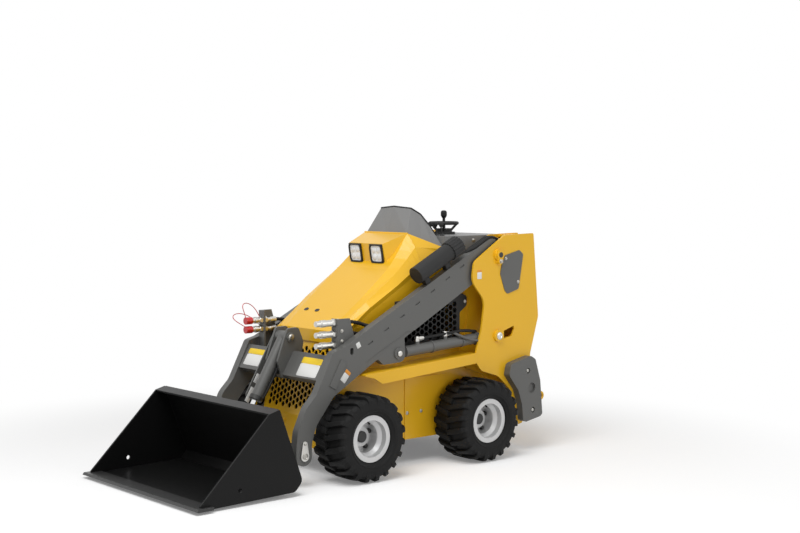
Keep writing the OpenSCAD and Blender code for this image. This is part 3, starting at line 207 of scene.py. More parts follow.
def new_group(name, inputs, outputs):
    """A shader node group with inputs as (name, kind, default) and outputs as (name, kind)."""
    group = bpy.data.node_groups.new(name, "ShaderNodeTree")
    for label, kind, default in inputs:
        socket = group.interface.new_socket(name=label, in_out="INPUT", socket_type=kind)
        socket.default_value = default
    for label, kind in outputs:
        group.interface.new_socket(name=label, in_out="OUTPUT", socket_type=kind)
    return group, group.nodes.new("NodeGroupInput").outputs, group.nodes.new("NodeGroupOutput")


def put_values(tree, node, values):
    """Puts values on a node's inputs by name or number, linked where one is a socket."""
    for key, value in values.items():
        if isinstance(value, bpy.types.NodeSocket):
            tree.links.new(value, node.inputs[key])
        else:
            node.inputs[key].default_value = value


def add_node(tree, kind, values=None, **settings):
    """A shader node with its settings, and with values on its inputs."""
    node = tree.nodes.new("ShaderNode" + kind)
    for key, value in settings.items():
        setattr(node, key, value)
    put_values(tree, node, values or {})
    return node


def sums(tree, operation, *values, clamp=False):
    """The result of a Math node on one to three values or sockets."""
    values = dict(enumerate(values))
    return add_node(tree, "Math", values, operation=operation, use_clamp=clamp).outputs[0]


def noise(tree, place, scale, detail, roughness):
    """The value of a Noise texture at a place."""
    values = {"Vector": place, "Scale": scale, "Detail": detail, "Roughness": roughness}
    return add_node(tree, "TexNoise", values).outputs["Fac"]


def object_place(tree):
    """The place on the piece, which is the place in the frame too."""
    return add_node(tree, "TexCoord").outputs["Object"]


FLOAT, COLOUR = "NodeSocketFloat", "NodeSocketColor"
# Sockets of a Mix node that blends colours
MIX_SHARE, MIX_A, MIX_B, MIX_RESULT = 0, 6, 7, 2


def blend(tree, share, first, second):
    """A colour between two others, the second one's share of it being a value or a socket."""
    values = {MIX_SHARE: share, MIX_A: first, MIX_B: second}
    return add_node(tree, "Mix", values, data_type="RGBA").outputs[MIX_RESULT]


def make_coat_group():
    """Paint or moulded skin: a slow noise shifts the colour's value, a middle one the roughness, and a fine
    one gives the orange-peel height."""
    group, take, give = new_group(
        "coat_skin",
        [("Colour", COLOUR, (0.5, 0.5, 0.5, 1)), ("Shift", FLOAT, 0.04), ("Rough", FLOAT, 0.4),
         ("Rough spread", FLOAT, 0.08), ("Peel scale", FLOAT, 420.0)],
        [("Colour", COLOUR), ("Roughness", FLOAT), ("Height", FLOAT)],
    )
    place = object_place(group)
    slow = noise(group, place, scale=3.5, detail=3.0, roughness=0.55)
    middle = noise(group, place, scale=26.0, detail=4.0, roughness=0.6)
    peel = noise(group, place, take["Peel scale"], detail=1.5, roughness=0.5)
    value = sums(group, "MULTIPLY_ADD", sums(group, "SUBTRACT", slow, 0.5), take["Shift"], 1.0)
    tone = add_node(group, "HueSaturation", {"Value": value, "Color": take["Colour"]})
    rough = sums(group, "MULTIPLY_ADD", sums(group, "SUBTRACT", middle, 0.5), take["Rough spread"],
                 take["Rough"], clamp=True)
    put_values(group, give, {"Colour": tone.outputs["Color"], "Roughness": rough, "Height": peel})


def make_edge_group():
    """Worn edges: where a Bevel node's rounded normal leaves the face's own normal, broken up by noise."""
    group, take, give = new_group(
        "edge_wear",
        [("Radius", FLOAT, 0.003), ("Break", FLOAT, 60.0), ("Amount", FLOAT, 1.0)],
        [("Mask", FLOAT)],
    )
    own = add_node(group, "NewGeometry").outputs["True Normal"]
    bevel = add_node(group, "Bevel", {"Radius": take["Radius"]}, samples=4).outputs["Normal"]
    along = add_node(group, "VectorMath", {0: bevel, 1: own}, operation="DOT_PRODUCT")
    off = add_node(group, "MapRange",
                   {"Value": along.outputs["Value"], "From Min": 0.995, "From Max": 0.80})
    spots = noise(group, object_place(group), take["Break"], detail=4.0, roughness=0.65)
    breaks = add_node(group, "MapRange", {"Value": spots, "From Min": 0.42, "From Max": 0.62})
    both = sums(group, "MULTIPLY", off.outputs[0], breaks.outputs[0])
    put_values(group, give, {"Mask": sums(group, "MULTIPLY", both, take["Amount"], clamp=True)})


def new_material(name):
    """The node tree of a new material, and its Principled shader."""
    material = bpy.data.materials.new(name)
    material.use_nodes = True
    return material.node_tree, material.node_tree.nodes["Principled BSDF"]


def make_finish(name, colour, rough, spread=0.08, shift=0.05, peel=420.0, bump=0.0004, metallic=0.0, coat=0.0,
                edge=None, edge_amount=0.0, specular=0.5, bevel=0.0015):
    """A finish on the coat_skin and edge_wear groups, with rounded edges from a Bevel node in its normal."""
    tree, shader = new_material(name)
    groups = bpy.data.node_groups
    look = {"Colour": (*colour, 1), "Shift": shift, "Rough": rough, "Rough spread": spread,
            "Peel scale": peel}
    skin = add_node(tree, "Group", look, node_tree=groups["coat_skin"]).outputs
    top = skin["Colour"]
    if edge:
        wear = add_node(tree, "Group", {"Amount": edge_amount}, node_tree=groups["edge_wear"])
        top = blend(tree, wear.outputs["Mask"], top, (*edge, 1))
    relief = add_node(tree, "Bump", {"Height": skin["Height"], "Distance": bump, "Strength": 0.5})
    if bevel:
        rounded = add_node(tree, "Bevel", {"Radius": bevel}, samples=4)
        put_values(tree, relief, {"Normal": rounded.outputs["Normal"]})
    put_values(tree, shader, {
        "Base Color": top, "Roughness": skin["Roughness"], "Normal": relief.outputs["Normal"],
        "Metallic": metallic, "Coat Weight": coat, "Coat Roughness": 0.12, "Specular IOR Level": specular,
    })


# The tub's pieces, how far out in metres their inner faces lie at most, and the near-black painted shade on those
TUB_NODES = ("frame_side_left", "frame_side_right", "belly_plate")
TUB_INNER_Y = 0.2835
TUB_INNER_SHADE = (0.012, 0.012, 0.012, 1)


def make_tub():
    """The tub's yellow paint, with near-black painted shade on the inner faces of its side plates, which lie
    nearest the middle.
    """
    paint = bpy.data.materials["yellow_paint"].copy()
    paint.name = "tub_paint_inner_shade"
    tree = paint.node_tree
    shader = tree.nodes["Principled BSDF"]
    coat = next(link.from_socket for link in tree.links if link.to_socket == shader.inputs["Base Color"])
    parts = add_node(tree, "SeparateXYZ", {0: object_place(tree)})
    inner = sums(tree, "LESS_THAN", sums(tree, "ABSOLUTE", parts.outputs["Y"]), TUB_INNER_Y)
    # Painted shade: the inner faces turn near-black, for the dark inside of the tub.
    put_values(tree, shader, {"Base Color": blend(tree, inner, coat, TUB_INNER_SHADE)})


def make_lens():
    """Pale lamp glass with fine vertical ribs."""
    tree, shader = new_material("lamp_glass")
    wave = {"Vector": object_place(tree), "Scale": 45.0, "Distortion": 0.0}
    ribs = add_node(tree, "TexWave", wave, wave_type="BANDS", bands_direction="Y").outputs["Fac"]
    relief = add_node(tree, "Bump", {"Height": ribs, "Distance": 0.0012, "Strength": 0.6})
    put_values(tree, shader, {"Base Color": (0.92, 0.95, 0.97, 1), "Roughness": 0.06,
                              "Normal": relief.outputs["Normal"]})


class LoaderPaint(bpy.types.PropertyGroup):
    """Colours of the loader's finishes."""

    yellow: FloatVectorProperty(
        name="Yellow paint", description="Tub, towers and hood", subtype="COLOR",
        default=(0.84, 0.472, 0.012), min=0, max=1)
    grey: FloatVectorProperty(
        name="Arm grey", description="Lift arms, weights and cylinder barrels",
        subtype="COLOR", default=(0.105, 0.105, 0.100), min=0, max=1)
    cowl: FloatVectorProperty(
        name="Cowl grey", description="Cowl and console", subtype="COLOR",
        default=(0.20, 0.20, 0.198), min=0, max=1)
    bucket: FloatVectorProperty(
        name="Bucket black", description="Bucket sheets", subtype="COLOR",
        default=(0.006, 0.006, 0.006), min=0, max=1)
    rim: FloatVectorProperty(
        name="Rim silver", description="Wheel rims", subtype="COLOR",
        default=(0.62, 0.62, 0.62), min=0, max=1)
    tyre: FloatVectorProperty(
        name="Tyre black", description="Tyres", subtype="COLOR",
        default=(0.009, 0.009, 0.009), min=0, max=1)


class LoaderLines(bpy.types.PropertyGroup):
    """Diameters of the loader's hoses and of the cowl's edge."""

    heel_hose: FloatProperty(
        name="Heel hose", description="Hoses over the arms' heels", unit="LENGTH", default=0.015)
    lift_hose: FloatProperty(
        name="Lift hose", description="Upper line of a lift cylinder", unit="LENGTH", default=0.017)
    lift_pipe: FloatProperty(
        name="Lift pipe", description="Lower line of a lift cylinder", unit="LENGTH", default=0.014)
    tilt_line: FloatProperty(
        name="Tilt line", description="Lines behind the tilt cylinder", unit="LENGTH", default=0.015)
    cowl_edge: FloatProperty(
        name="Cowl edge", description="Rubber edge on the cowl's rim", unit="LENGTH", default=0.009)


class LoaderStage(bpy.types.PropertyGroup):
    """Camera and light of the studio."""

    eye: FloatVectorProperty(
        name="Camera place", description="Where the photograph was taken from",
        unit="LENGTH", default=(4.588, 5.881, 1.518))
    turn: FloatProperty(
        name="Camera turn", description="Direction of view on the ground, from +X to +Y",
        subtype="ANGLE", default=math.radians(229.27))
    dip: FloatProperty(
        name="Camera dip", description="How far the view points below the horizon",
        subtype="ANGLE", default=math.radians(3.32))
    lens: FloatProperty(
        name="Focal length", description="On a 36 mm wide frame", unit="CAMERA",
        default=61.39, min=20, max=200)
    key: FloatProperty(
        name="Key light", description="Power of the large lamp above the front left",
        unit="POWER", default=264)
    ambient: FloatProperty(
        name="Surround", description="Strength of the pale surround as light",
        subtype="FACTOR", default=0.38, min=0, max=1)
    floor_glow: FloatProperty(
        name="Floor glow", description="White added to the floor where it is seen",
        subtype="FACTOR", default=0.17, min=0, max=1)


# Smooth finishes of thin sheets: name, colour and roughness
SHEETS = (("label_white", (0.78, 0.78, 0.76), 0.35), ("label_yellow", (0.90, 0.62, 0.02), 0.35),
          ("label_amber", (0.80, 0.30, 0.02), 0.35), ("lamp_cell", (0.80, 0.82, 0.84), 0.12),
          ("display_glass", (0.02, 0.024, 0.028), 0.12))


class LOADER_OT_finishes(bpy.types.Operator):
    """Make the finishes and give each CAD piece its own."""

    bl_idname = "loader.finishes"
    bl_label = "Finishes"

    def execute(self, context):
        paint = context.scene.loader_paint
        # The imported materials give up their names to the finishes
        for packed in list(bpy.data.materials):
            packed.name = "packed_" + packed.name
        make_coat_group()
        make_edge_group()
        make_finish("yellow_paint", paint.yellow, rough=0.34, specular=0.38, coat=0.22,
                    edge=(0.95, 0.66, 0.10), edge_amount=0.3)
        make_finish("grey_paint", paint.grey, rough=0.42, edge=(0.24, 0.24, 0.235), edge_amount=0.6)
        make_finish("cowl_paint", paint.cowl, rough=0.45, peel=900, edge=(0.32, 0.32, 0.32), edge_amount=0.4)
        make_finish("bucket_paint", paint.bucket, rough=0.34, specular=0.16, edge=(0.05, 0.05, 0.05),
                    edge_amount=0.7)
        make_finish("edge_steel", (0.02, 0.02, 0.02), rough=0.35, edge=(0.12, 0.12, 0.12), edge_amount=0.8)
        make_finish("zinc_plate", (0.62, 0.61, 0.58), rough=0.32, metallic=1.0, shift=0.15, bump=0.0002)
        make_finish("rod_chrome", (0.78, 0.78, 0.78), rough=0.10, spread=0.05, metallic=1.0, bump=0.00005,
                    bevel=0.0)
        make_finish("black_plastic", (0.018, 0.018, 0.018), rough=0.55, peel=1400, bump=0.0005, specular=0.3)
        make_finish("black_rubber", (0.012, 0.012, 0.012), rough=0.60, peel=1000, bump=0.0005, specular=0.25)
        make_finish("red_plastic", (0.55, 0.012, 0.016), rough=0.30, coat=0.3)
        make_finish("engine_metal", (0.05, 0.05, 0.05), rough=0.6)
        make_finish("motor_iron", (0.04, 0.04, 0.04), rough=0.6, bump=0.001)
        make_finish("tyre_rubber", paint.tyre, rough=0.62, peel=700, shift=0.25, bump=0.0006, specular=0.18,
                    edge=(0.024, 0.023, 0.022), edge_amount=0.5)
        make_finish("rim_paint", paint.rim, rough=0.34, coat=0.2, metallic=0.35)
        make_finish("bolt_zinc", (0.42, 0.41, 0.38), rough=0.36, metallic=1.0, shift=0.2, bump=0.0002,
                    bevel=0.0)
        make_finish("dark_bolt", (0.05, 0.05, 0.048), rough=0.42, metallic=0.6, bump=0.0002, bevel=0.0)
        for name, colour, rough in SHEETS:
            make_finish(name, colour, rough, bump=0.0001, bevel=0.0)
        make_tub()
        make_lens()
        for part in frame["record"]["subparts"]:
            mesh = frame["nodes"][part["node"]].data
            mesh.materials.clear()
            # The tub's plates get the yellow paint with painted shade on their inner faces.
            finish = "tub_paint_inner_shade" if part["node"] in TUB_NODES else part["material_slot"]
            mesh.materials.append(bpy.data.materials[finish])
        return {"FINISHED"}


LUGS = 20
# Half a tyre's section from the middle of the tread out to the bead: place along it, then half width and
# radius between the lugs, and half width and radius on a lug's top, in millimetres
SECTION = np.array([
    (0, 0, 212, 0, 228.5), (0.07, 9, 212, 9, 228.5), (0.30, 60, 210, 63, 227.6), (0.45, 95, 210, 99, 226),
    (0.50, 107, 206, 111, 220.5), (0.58, 117, 195, 121.5, 203), (0.64, 119, 181, 120.5, 184),
    (0.68, 119.5, 172, 119.5, 173), (0.74, 120.5, 162, 120.5, 162), (0.80, 119, 150, 119, 150),
    (0.81, 121, 148.5, 121, 148.5), (0.84, 120, 144, 120, 144), (0.85, 117, 142.5, 117, 142.5),
    (0.92, 110, 132, 110, 132), (0.95, 108.5, 126.5, 108.5, 126.5), (1, 96, 124, 96, 124),
])
# Places of the grid's rows along that half section
ROWS = np.array([
    0, 0.035, 0.05, 0.07, 0.12, 0.18, 0.24, 0.30, 0.36, 0.41, 0.45, 0.475, 0.50, 0.54, 0.58, 0.61, 0.64,
    0.68, 0.71, 0.74, 0.77, 0.80, 0.81, 0.825, 0.84, 0.85, 0.885, 0.92, 0.95, 0.975, 1,
])
# Places of the grid's columns in half a lug's pitch, and a lug's height where it starts and ends
PHASES = np.array([0, 0.025, 0.05, 0.14, 0.22, 0.30, 0.37, 0.395, 0.42, 0.46])
LUG_PHASES, LUG_HEIGHTS = (0, 0.025, 0.05, 0.37, 0.395, 0.42, 1), (0, 0.94, 1, 1, 0.94, 0, 0)
# Where past the middle a lug begins and has its full height, and how the lugs sweep back to the shoulder
LUG_ROOT, LUG_END = -0.05, -0.035
SWEEP, SWEEP_TO, SWEEP_POWER = 0.40, 0.52, 1.3


def tyre_points(centre):
    """A tyre as a grid of rows across its section and columns round it. A row's columns are swept back
    towards the shoulder, so that the lugs' walls follow the columns. A point's radius and width go from the
    section between the lugs to that on their tops by a mask: 1 on a side's own lugs, which alternate with
    the other side's and end just past the middle."""
    s = np.concatenate([-ROWS[:0:-1], ROWS])[:, None]
    turn = (np.arange(LUGS)[:, None] + np.concatenate([PHASES, PHASES + 0.5])).ravel()[None, :]
    far = np.abs(s)
    sweep = SWEEP * np.clip(far / SWEEP_TO, 0, 1) ** SWEEP_POWER
    own = [np.interp((turn + half) % 1, LUG_PHASES, LUG_HEIGHTS) for half in (0, 0.5)]
    reach = [np.interp(side * s, (LUG_ROOT, LUG_END), (0, 1)) for _, side in SIDES]
    mask = np.maximum(own[0] * reach[0], own[1] * reach[1])
    low_y, low_r, top_y, top_r = (np.interp(far, SECTION[:, 0], SECTION[:, k]) for k in range(1, 5))
    y, r = low_y + (top_y - low_y) * mask, low_r + (top_r - low_r) * mask
    a = 2 * np.pi / LUGS * (turn + sweep)
    return np.stack([r * np.sin(a), np.sign(s) * y + 0 * a, -r * np.cos(a)], -1) * MM + centre


class LOADER_OT_tyres(bpy.types.Operator):
    """Make the tyres with chevron lugs in place of the plain CAD ones."""

    bl_idname = "loader.tyres"
    bl_label = "Tyres"

    def execute(self, context):
        for body, centre in WHEELS:
            points = tyre_points(centre)
            faces = grid_faces(*points.shape[:2], wrap_rows=True, wrap_columns=True)[:, ::-1]
            piece = put_mesh(body + "_tyre", (points, faces), body, "tyre_rubber", sharp=32)
            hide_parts(body.replace("wheel", "tyre"))
        return {"FINISHED"}


# Profiles on the rims as (radius, height), then the nuts' number, circle and first angle, and how far the
# pieces lie from the wheel's middle, in millimetres
NUT = [(15, 0), (15, 3), (12.5, 3.4), (12.5, 15), (10, 18), (6, 18.6)]
HUB_CAP = [(30, 0), (30, 9), (27, 12), (12, 13)]
VALVE = [(4, 0), (4, 16), (5, 17), (5, 26), (3.5, 27.5)]
NUT_COUNT, NUT_CIRCLE, FIRST_NUT = 5, 66, 0.3
DISC_OUT, CAP_OUT = -8, 14
VALVE_OUT, VALVE_UP, VALVE_LEAN = 60, 87, 0.5


class LOADER_OT_wheel_nuts(bpy.types.Operator):
    """Make the wheel nuts, the hub caps and the valves in the rims."""

    bl_idname = "loader.wheel_nuts"
    bl_label = "Wheel nuts"

    def execute(self, context):
        t = np.linspace(0, 2 * np.pi, NUT_COUNT, endpoint=False)[:, None] + FIRST_NUT
        round_hub = NUT_CIRCLE * MM * (np.cos(t) * FORWARD + np.sin(t) * UP)
        for body, centre in WHEELS:
            out = LEFT * np.sign(centre[1])
            nuts = turned(NUT, centre + out * DISC_OUT * MM + round_hub, out, sides=6)
            put_mesh(body + "_nuts", nuts, body, "zinc_plate", "dark_bolt")
            cap = turned(HUB_CAP, centre + out * CAP_OUT * MM, out, sides=32)
            put_mesh(body + "_cap", cap, body, "motor_iron")
            stem = centre + (out * VALVE_OUT + UP * VALVE_UP) * MM
            valve = turned(VALVE, stem, out - UP * VALVE_LEAN, sides=12)
            put_mesh(body + "_valve", valve, body, "black_rubber")
        return {"FINISHED"}


# Places on the left side, in millimetres from the front axle
COVER_BOLTS = ((-1067, 429, 1116), (-1166, 429, 980))
FLAG_BOLTS = ((-1011, 447, 1103),)
WEIGHT_BOLTS = ((-1211, 458, 469), (-1252, 458, 239))
TUB_BOLTS = ((-444, 294, 285), (-545, 294, 287))
GRILLE_BOLTS = ((-838, 335, 880), (-375, 335, 675), (-375, 335, 885))
CONSOLE_BOLTS = ((-967, 266, 1218), (-1200, 266, 1218), (-780, 266, 1140))
BRACKET_BOLTS = ((58, 355, 775), (58, 355, 722))
NOSE_BOLTS = tuple((102, y, 262) for y in (-240, -90, 90, 240))
LIFT_PIN, LIFT_PIN_FACE, PIVOT_PIN_FACE = (-1010, 378, 681), (-1010, 439, 681), (-1011, 447, 1139)
LIFT_LUG, LIFT_LUG_FACE = (-295, 378, 634), (-295, 409, 634)
KEEPER, BUCKET_PIN_FACE, TILT_PIN_FACE = (336, 409, 224), (336, 409, 162), (170, 66, 727)
# Profiles of pin ends as (radius, height)
LIFT_PIN_END = [(21, 0), (21, 3), (17, 4), (17, 6), (11, 7.5), (9, 5), (3, 5)]
PIVOT_PIN_END = [(15, 0), (15, 2), (12, 3), (11, 1.5), (4, 1.5)]
KEEPER_HEAD = [(7, 0), (7, 2), (5.5, 5), (2, 6)]
BUCKET_PIN_END = [(16, 0), (16, 3), (12, 5), (10, 3), (3, 3)]
TILT_PIN_END = [(18, 0), (18, 2), (14, 4), (12, 8), (5, 9)]
LUG_PIN_END = [(15, 0), (15, 2), (13, 3.5), (6, 4)]


class LOADER_OT_fasteners(bpy.types.Operator):
    """Make the bolts of the tub, towers, console and arms, and the ends of the pins."""

    bl_idname = "loader.fasteners"
    bl_label = "Fasteners"

    def execute(self, context):
        sets = ((COVER_BOLTS, SMALL_BOLT), (FLAG_BOLTS, FLAG_BOLT), (WEIGHT_BOLTS, WEIGHT_BOLT),
                (TUB_BOLTS, SMALL_BOLT), (GRILLE_BOLTS, SMALL_BOLT))
        tub = both_sides(*[bolt(places(points), LEFT, size) for points, size in sets])
        put_mesh("chassis_bolts", tub, "chassis", "zinc_plate", "bolt_zinc")
        low_pins = both_sides(turned(LIFT_PIN_END, at(*LIFT_PIN_FACE), LEFT, sides=32))
        put_mesh("lift_pin_ends", low_pins, "chassis", "zinc_plate")
        high_pins = both_sides(turned(PIVOT_PIN_END, at(*PIVOT_PIN_FACE), LEFT, sides=28))
        put_mesh("pivot_pin_ends", high_pins, "chassis", "motor_iron", "dark_bolt")
        deck = both_sides(bolt(places(CONSOLE_BOLTS), LEFT))
        put_mesh("console_bolts", deck, "chassis", "zinc_plate", "bolt_zinc")
        arms = both_sides(bolt(places(BRACKET_BOLTS), LEFT, BRACKET_BOLT),
                          turned(KEEPER_HEAD, at(*KEEPER), LEFT, sides=20),
                          turned(BUCKET_PIN_END, at(*BUCKET_PIN_FACE), LEFT, sides=28),
                          turned(TILT_PIN_END, at(*TILT_PIN_FACE), LEFT, sides=28))
        put_mesh("arm_bolts", arms, "lift_arms", "zinc_plate", "bolt_zinc")
        put_mesh("nose_bolts", bolt(places(NOSE_BOLTS), FORWARD), "chassis", "yellow_paint")
        for side, way in SIDES:
            end = turned(LUG_PIN_END, at(*LIFT_LUG_FACE) * (1, way, 1), LEFT * way, sides=28)
            put_mesh("lug_pin_end_" + side, end, "lift_barrel_" + side, "zinc_plate")
        return {"FINISHED"}


LABEL_SHEET = [(0, 0), (0, 0.5), (0.3, 0.7)]
# Edges of the cross beam's front face and ends of the tilt cylinder, on the middle plane
BEAM_TOP, BEAM_FOOT = (147.4, 0, 653.4), (220.2, 0, 531.3)
TILT_PIN, TILT_EYE = (170, 0, 727), (424, 0, 290)
# Ways along the arm's lower leg and along its upper run
LEG_WAY, ARM_WAY = (-53, 0, 64), (-0.890, 0, 0.456)


class LOADER_OT_labels(bpy.types.Operator):
    """Make the blank label plates on the tower, the arm, the cross beam and the lock bar."""

    bl_idname = "loader.labels"
    bl_label = "Blank labels"

    def execute(self, context):
        lean = unit(at(*BEAM_TOP) - at(*BEAM_FOOT))
        beam_out = np.cross(LEFT, lean)
        bar = at(*TILT_PIN) - at(*TILT_EYE)

        def beam(y, down):
            """A place on the cross beam's front face, so many millimetres below its upper edge."""
            return at(*BEAM_TOP) + (LEFT * y - lean * down) * MM

        # Name, body, middle of the back, way out, way up, half sizes and finish
        labels = (
            ("tower_label", "chassis", at(-864, 425, 1027), LEFT, UP, (17, 19), "label_white"),
            ("tower_label_head", "chassis", at(-864, 425, 1054), LEFT, UP, (17, 6), "label_amber"),
            ("beam_label", "lift_arms", beam(248, 96), beam_out, lean, (84, 36), "label_white"),
            ("beam_label_head", "lift_arms", beam(248, 42), beam_out, lean, (84, 18), "label_yellow"),
            ("beam_label_right", "lift_arms", beam(-240, 88), beam_out, lean, (90, 33), "label_white"),
            ("beam_label_right_head", "lift_arms", beam(-240, 38), beam_out, lean, (90, 16), "label_yellow"),
            ("leg_label", "lift_arms", at(76, 401, 538), LEFT, LEG_WAY, (19, 24), "label_white"),
            ("leg_label_head", "lift_arms", at(54, 401, 564), LEFT, LEG_WAY, (19, 9), "label_amber"),
            ("elbow_label", "lift_arms", at(-16, 401, 700), LEFT, ARM_WAY, (15, 13), "label_white"),
            ("bar_label", "lift_arms", at(346, -66, 424), LEFT, bar, (14, 42), "label_white"),
            ("bar_label_head", "lift_arms", at(299, -66, 505), LEFT, bar, (14, 26), "label_white"),
        )
        for name, body, place, axis, up, half, finish in labels:
            sheet = turned(LABEL_SHEET, place, axis, half, up, power=12.0, sides=48)
            put_mesh(name, sheet, body, "rim_paint", finish)
        return {"FINISHED"}


# Corners of the cowl's rim on the left side, up to the middle, and how far the rubber edge stands off them
COWL_RIM = ((-745, 190, 1250), (-706, 170.2, 1312.7), (-665.4, 150, 1367.1), (-614.4, 129, 1400.1),
            (-598.9, 0, 1410))
RIM_OFF = np.array((-2, 0, 1)) * MM
LEVER = [(15, 0), (15, 4), (9, 10), (4.5, 12), (4.5, 48), (9, 52), (12, 60), (12, 70), (8, 78), (2, 80)]
LEVER_ROOTS = tuple((-790, y, 1245) for y in (105, 150, 195))
LEVER_WAY = (0.12, 0, 1)
POD, POD_PLACE, POD_HALF = [(0, 0), (0, 26), (3, 32), (14, 34)], (-830, -150, 1245), (30, 70)


class LOADER_OT_cowl_trim(bpy.types.Operator):
    """Make the rubber edge along the cowl's rim, and the small levers and the pod behind it."""

    bl_idname = "loader.cowl_trim"
    bl_label = "Cowl trim"

    def execute(self, context):
        half = places(COWL_RIM)
        rim = np.array(half + [p * (1, -1, 1) for p in half[-2::-1]]) + RIM_OFF
        edge = tube(run_through(rim, step=0.006), context.scene.loader_lines.cowl_edge, sides=10)
        put_mesh("cowl_edge", edge, "chassis", "black_rubber")
        put_mesh("console_levers", turned(LEVER, places(LEVER_ROOTS), LEVER_WAY), "chassis", "black_plastic")
        pod = turned(POD, at(*POD_PLACE), UP, POD_HALF, FORWARD, power=5.0, sides=40)
        put_mesh("console_pod", pod, "chassis", "black_plastic")
        return {"FINISHED"}


# The instrument panel from its foot up: place ahead of the front axle, half width and height; its thickness,
# and the points across it
PANEL_LEVELS = np.array(((-739, 186, 1246), (-700, 166, 1306), (-659, 146, 1360), (-621, 123, 1384)), float)
PANEL_T, PANEL_COLUMNS = 5, 15
DISPLAY, DISPLAY_HALF = [(0, -2), (0, 7), (2, 9), (7, 9), (8, 7.5)], (62, 38)
KEY_SWITCH = [(13, -2), (13, 4), (11, 6), (8, 6), (7, 14), (2, 15)]
PUSH_BUTTON = [(11, -2), (11, 4), (8.5, 5), (8.5, 8), (6, 9)]
STOP_BUTTON = [(14, -2), (14, 5), (9, 6), (9, 12), (16, 14), (16, 20), (9, 24)]


class LOADER_OT_instrument_panel(bpy.types.Operator):
    """Make the dark instrument panel inside the cowl, with a blank display, a key switch and push buttons."""

    bl_idname = "loader.instrument_panel"
    bl_label = "Instrument panel"

    def execute(self, context):
        slope = unit((PANEL_LEVELS[-1] - PANEL_LEVELS[0]) * (1, 0, 1))
        out = np.array((-slope[2], 0, slope[0]))
        across = np.linspace(-1, 1, PANEL_COLUMNS)
        front, back = np.stack([-across, 0 * across], -1), np.stack([across, 0 * across + 1], -1)
        ring = np.concatenate([front, back])
        middle = np.stack([at(x, 0, z) for x, _, z in PANEL_LEVELS])[:, None]
        wide = PANEL_LEVELS[:, 1][:, None] * MM * ring[None, :, 0]
        sheet = middle + wide[..., None] * LEFT - ring[None, :, 1:] * PANEL_T * MM * out
        put_mesh("instrument_panel", (sheet, capped_faces(*sheet.shape[:2])), "chassis", "black_plastic")
        foot_x, _, foot_z = PANEL_LEVELS[0]

        def on_panel(y, up):
            """A place on the panel, so many millimetres left of its middle and up from its foot."""
            return at(foot_x, y, foot_z) + slope * up * MM

        display = turned(DISPLAY, on_panel(0, 100), out, DISPLAY_HALF, slope, power=7.0, sides=48)
        put_mesh("panel_display", display, "chassis", "black_plastic", "display_glass")
        key = turned(KEY_SWITCH, on_panel(-95, 70), out, sides=24)
        put_mesh("panel_key", key, "chassis", "zinc_plate")
        push = turned(PUSH_BUTTON, [on_panel(y, 45) for y in (-40, 0, 40)], out, sides=24)
        put_mesh("panel_buttons", push, "chassis", "black_rubber", "grey_paint")
        stop = turned(STOP_BUTTON, on_panel(100, 72), out, sides=28)
        put_mesh("panel_stop_button", stop, "chassis", "red_plastic")
        return {"FINISHED"}


# The rear door's margins in the rear panel and how far its middle is raised; then the profiles, half sizes
# and places of its fittings, where a share is that of the door's half size
DOOR_SIDE, DOOR_ENDS, DOOR_LIFT = 62, 150, 40
DOOR_LEAF, DOOR_FACE = [(0, -1), (0, 4), (1.5, 5.5), (4, 6)], 6
LOUVRE, LOUVRE_HALF = [(0, -1), (0, 1), (2, 6), (6, 9), (9, 9.5)], (70, 11)
LOUVRE_COUNT, LOUVRE_STEP, LOUVRE_SHARE, LOUVRE_FOOT = 6, 34, 0.46, 0.72
# The thin black strips of painted shade under the louvres: their profile, half size and drop below each louvre
GAP, GAP_HALF, GAP_DROP = [(0, -1), (0, 0.6), (0.5, 0.8)], (66, 3.5), 13
HINGE, HINGE_HALF = [(4, 0), (7, 1.5), (7, 29), (6, 30), (7, 31), (7, 58.5), (4, 60)], 30
HINGE_SIDE, HINGE_OUT, HINGE_SHARE = 6, 5, 0.7
LATCH, LATCH_HALF = [(0, -1), (0, 2), (2, 4), (6, 3), (9, 1), (20, 0.8)], (24, 40)
LATCH_SIDE, LATCH_SHARE = 40, 0.3
BOLT_HINGE_SIDE, BOLT_LATCH_SIDE = 34, 30


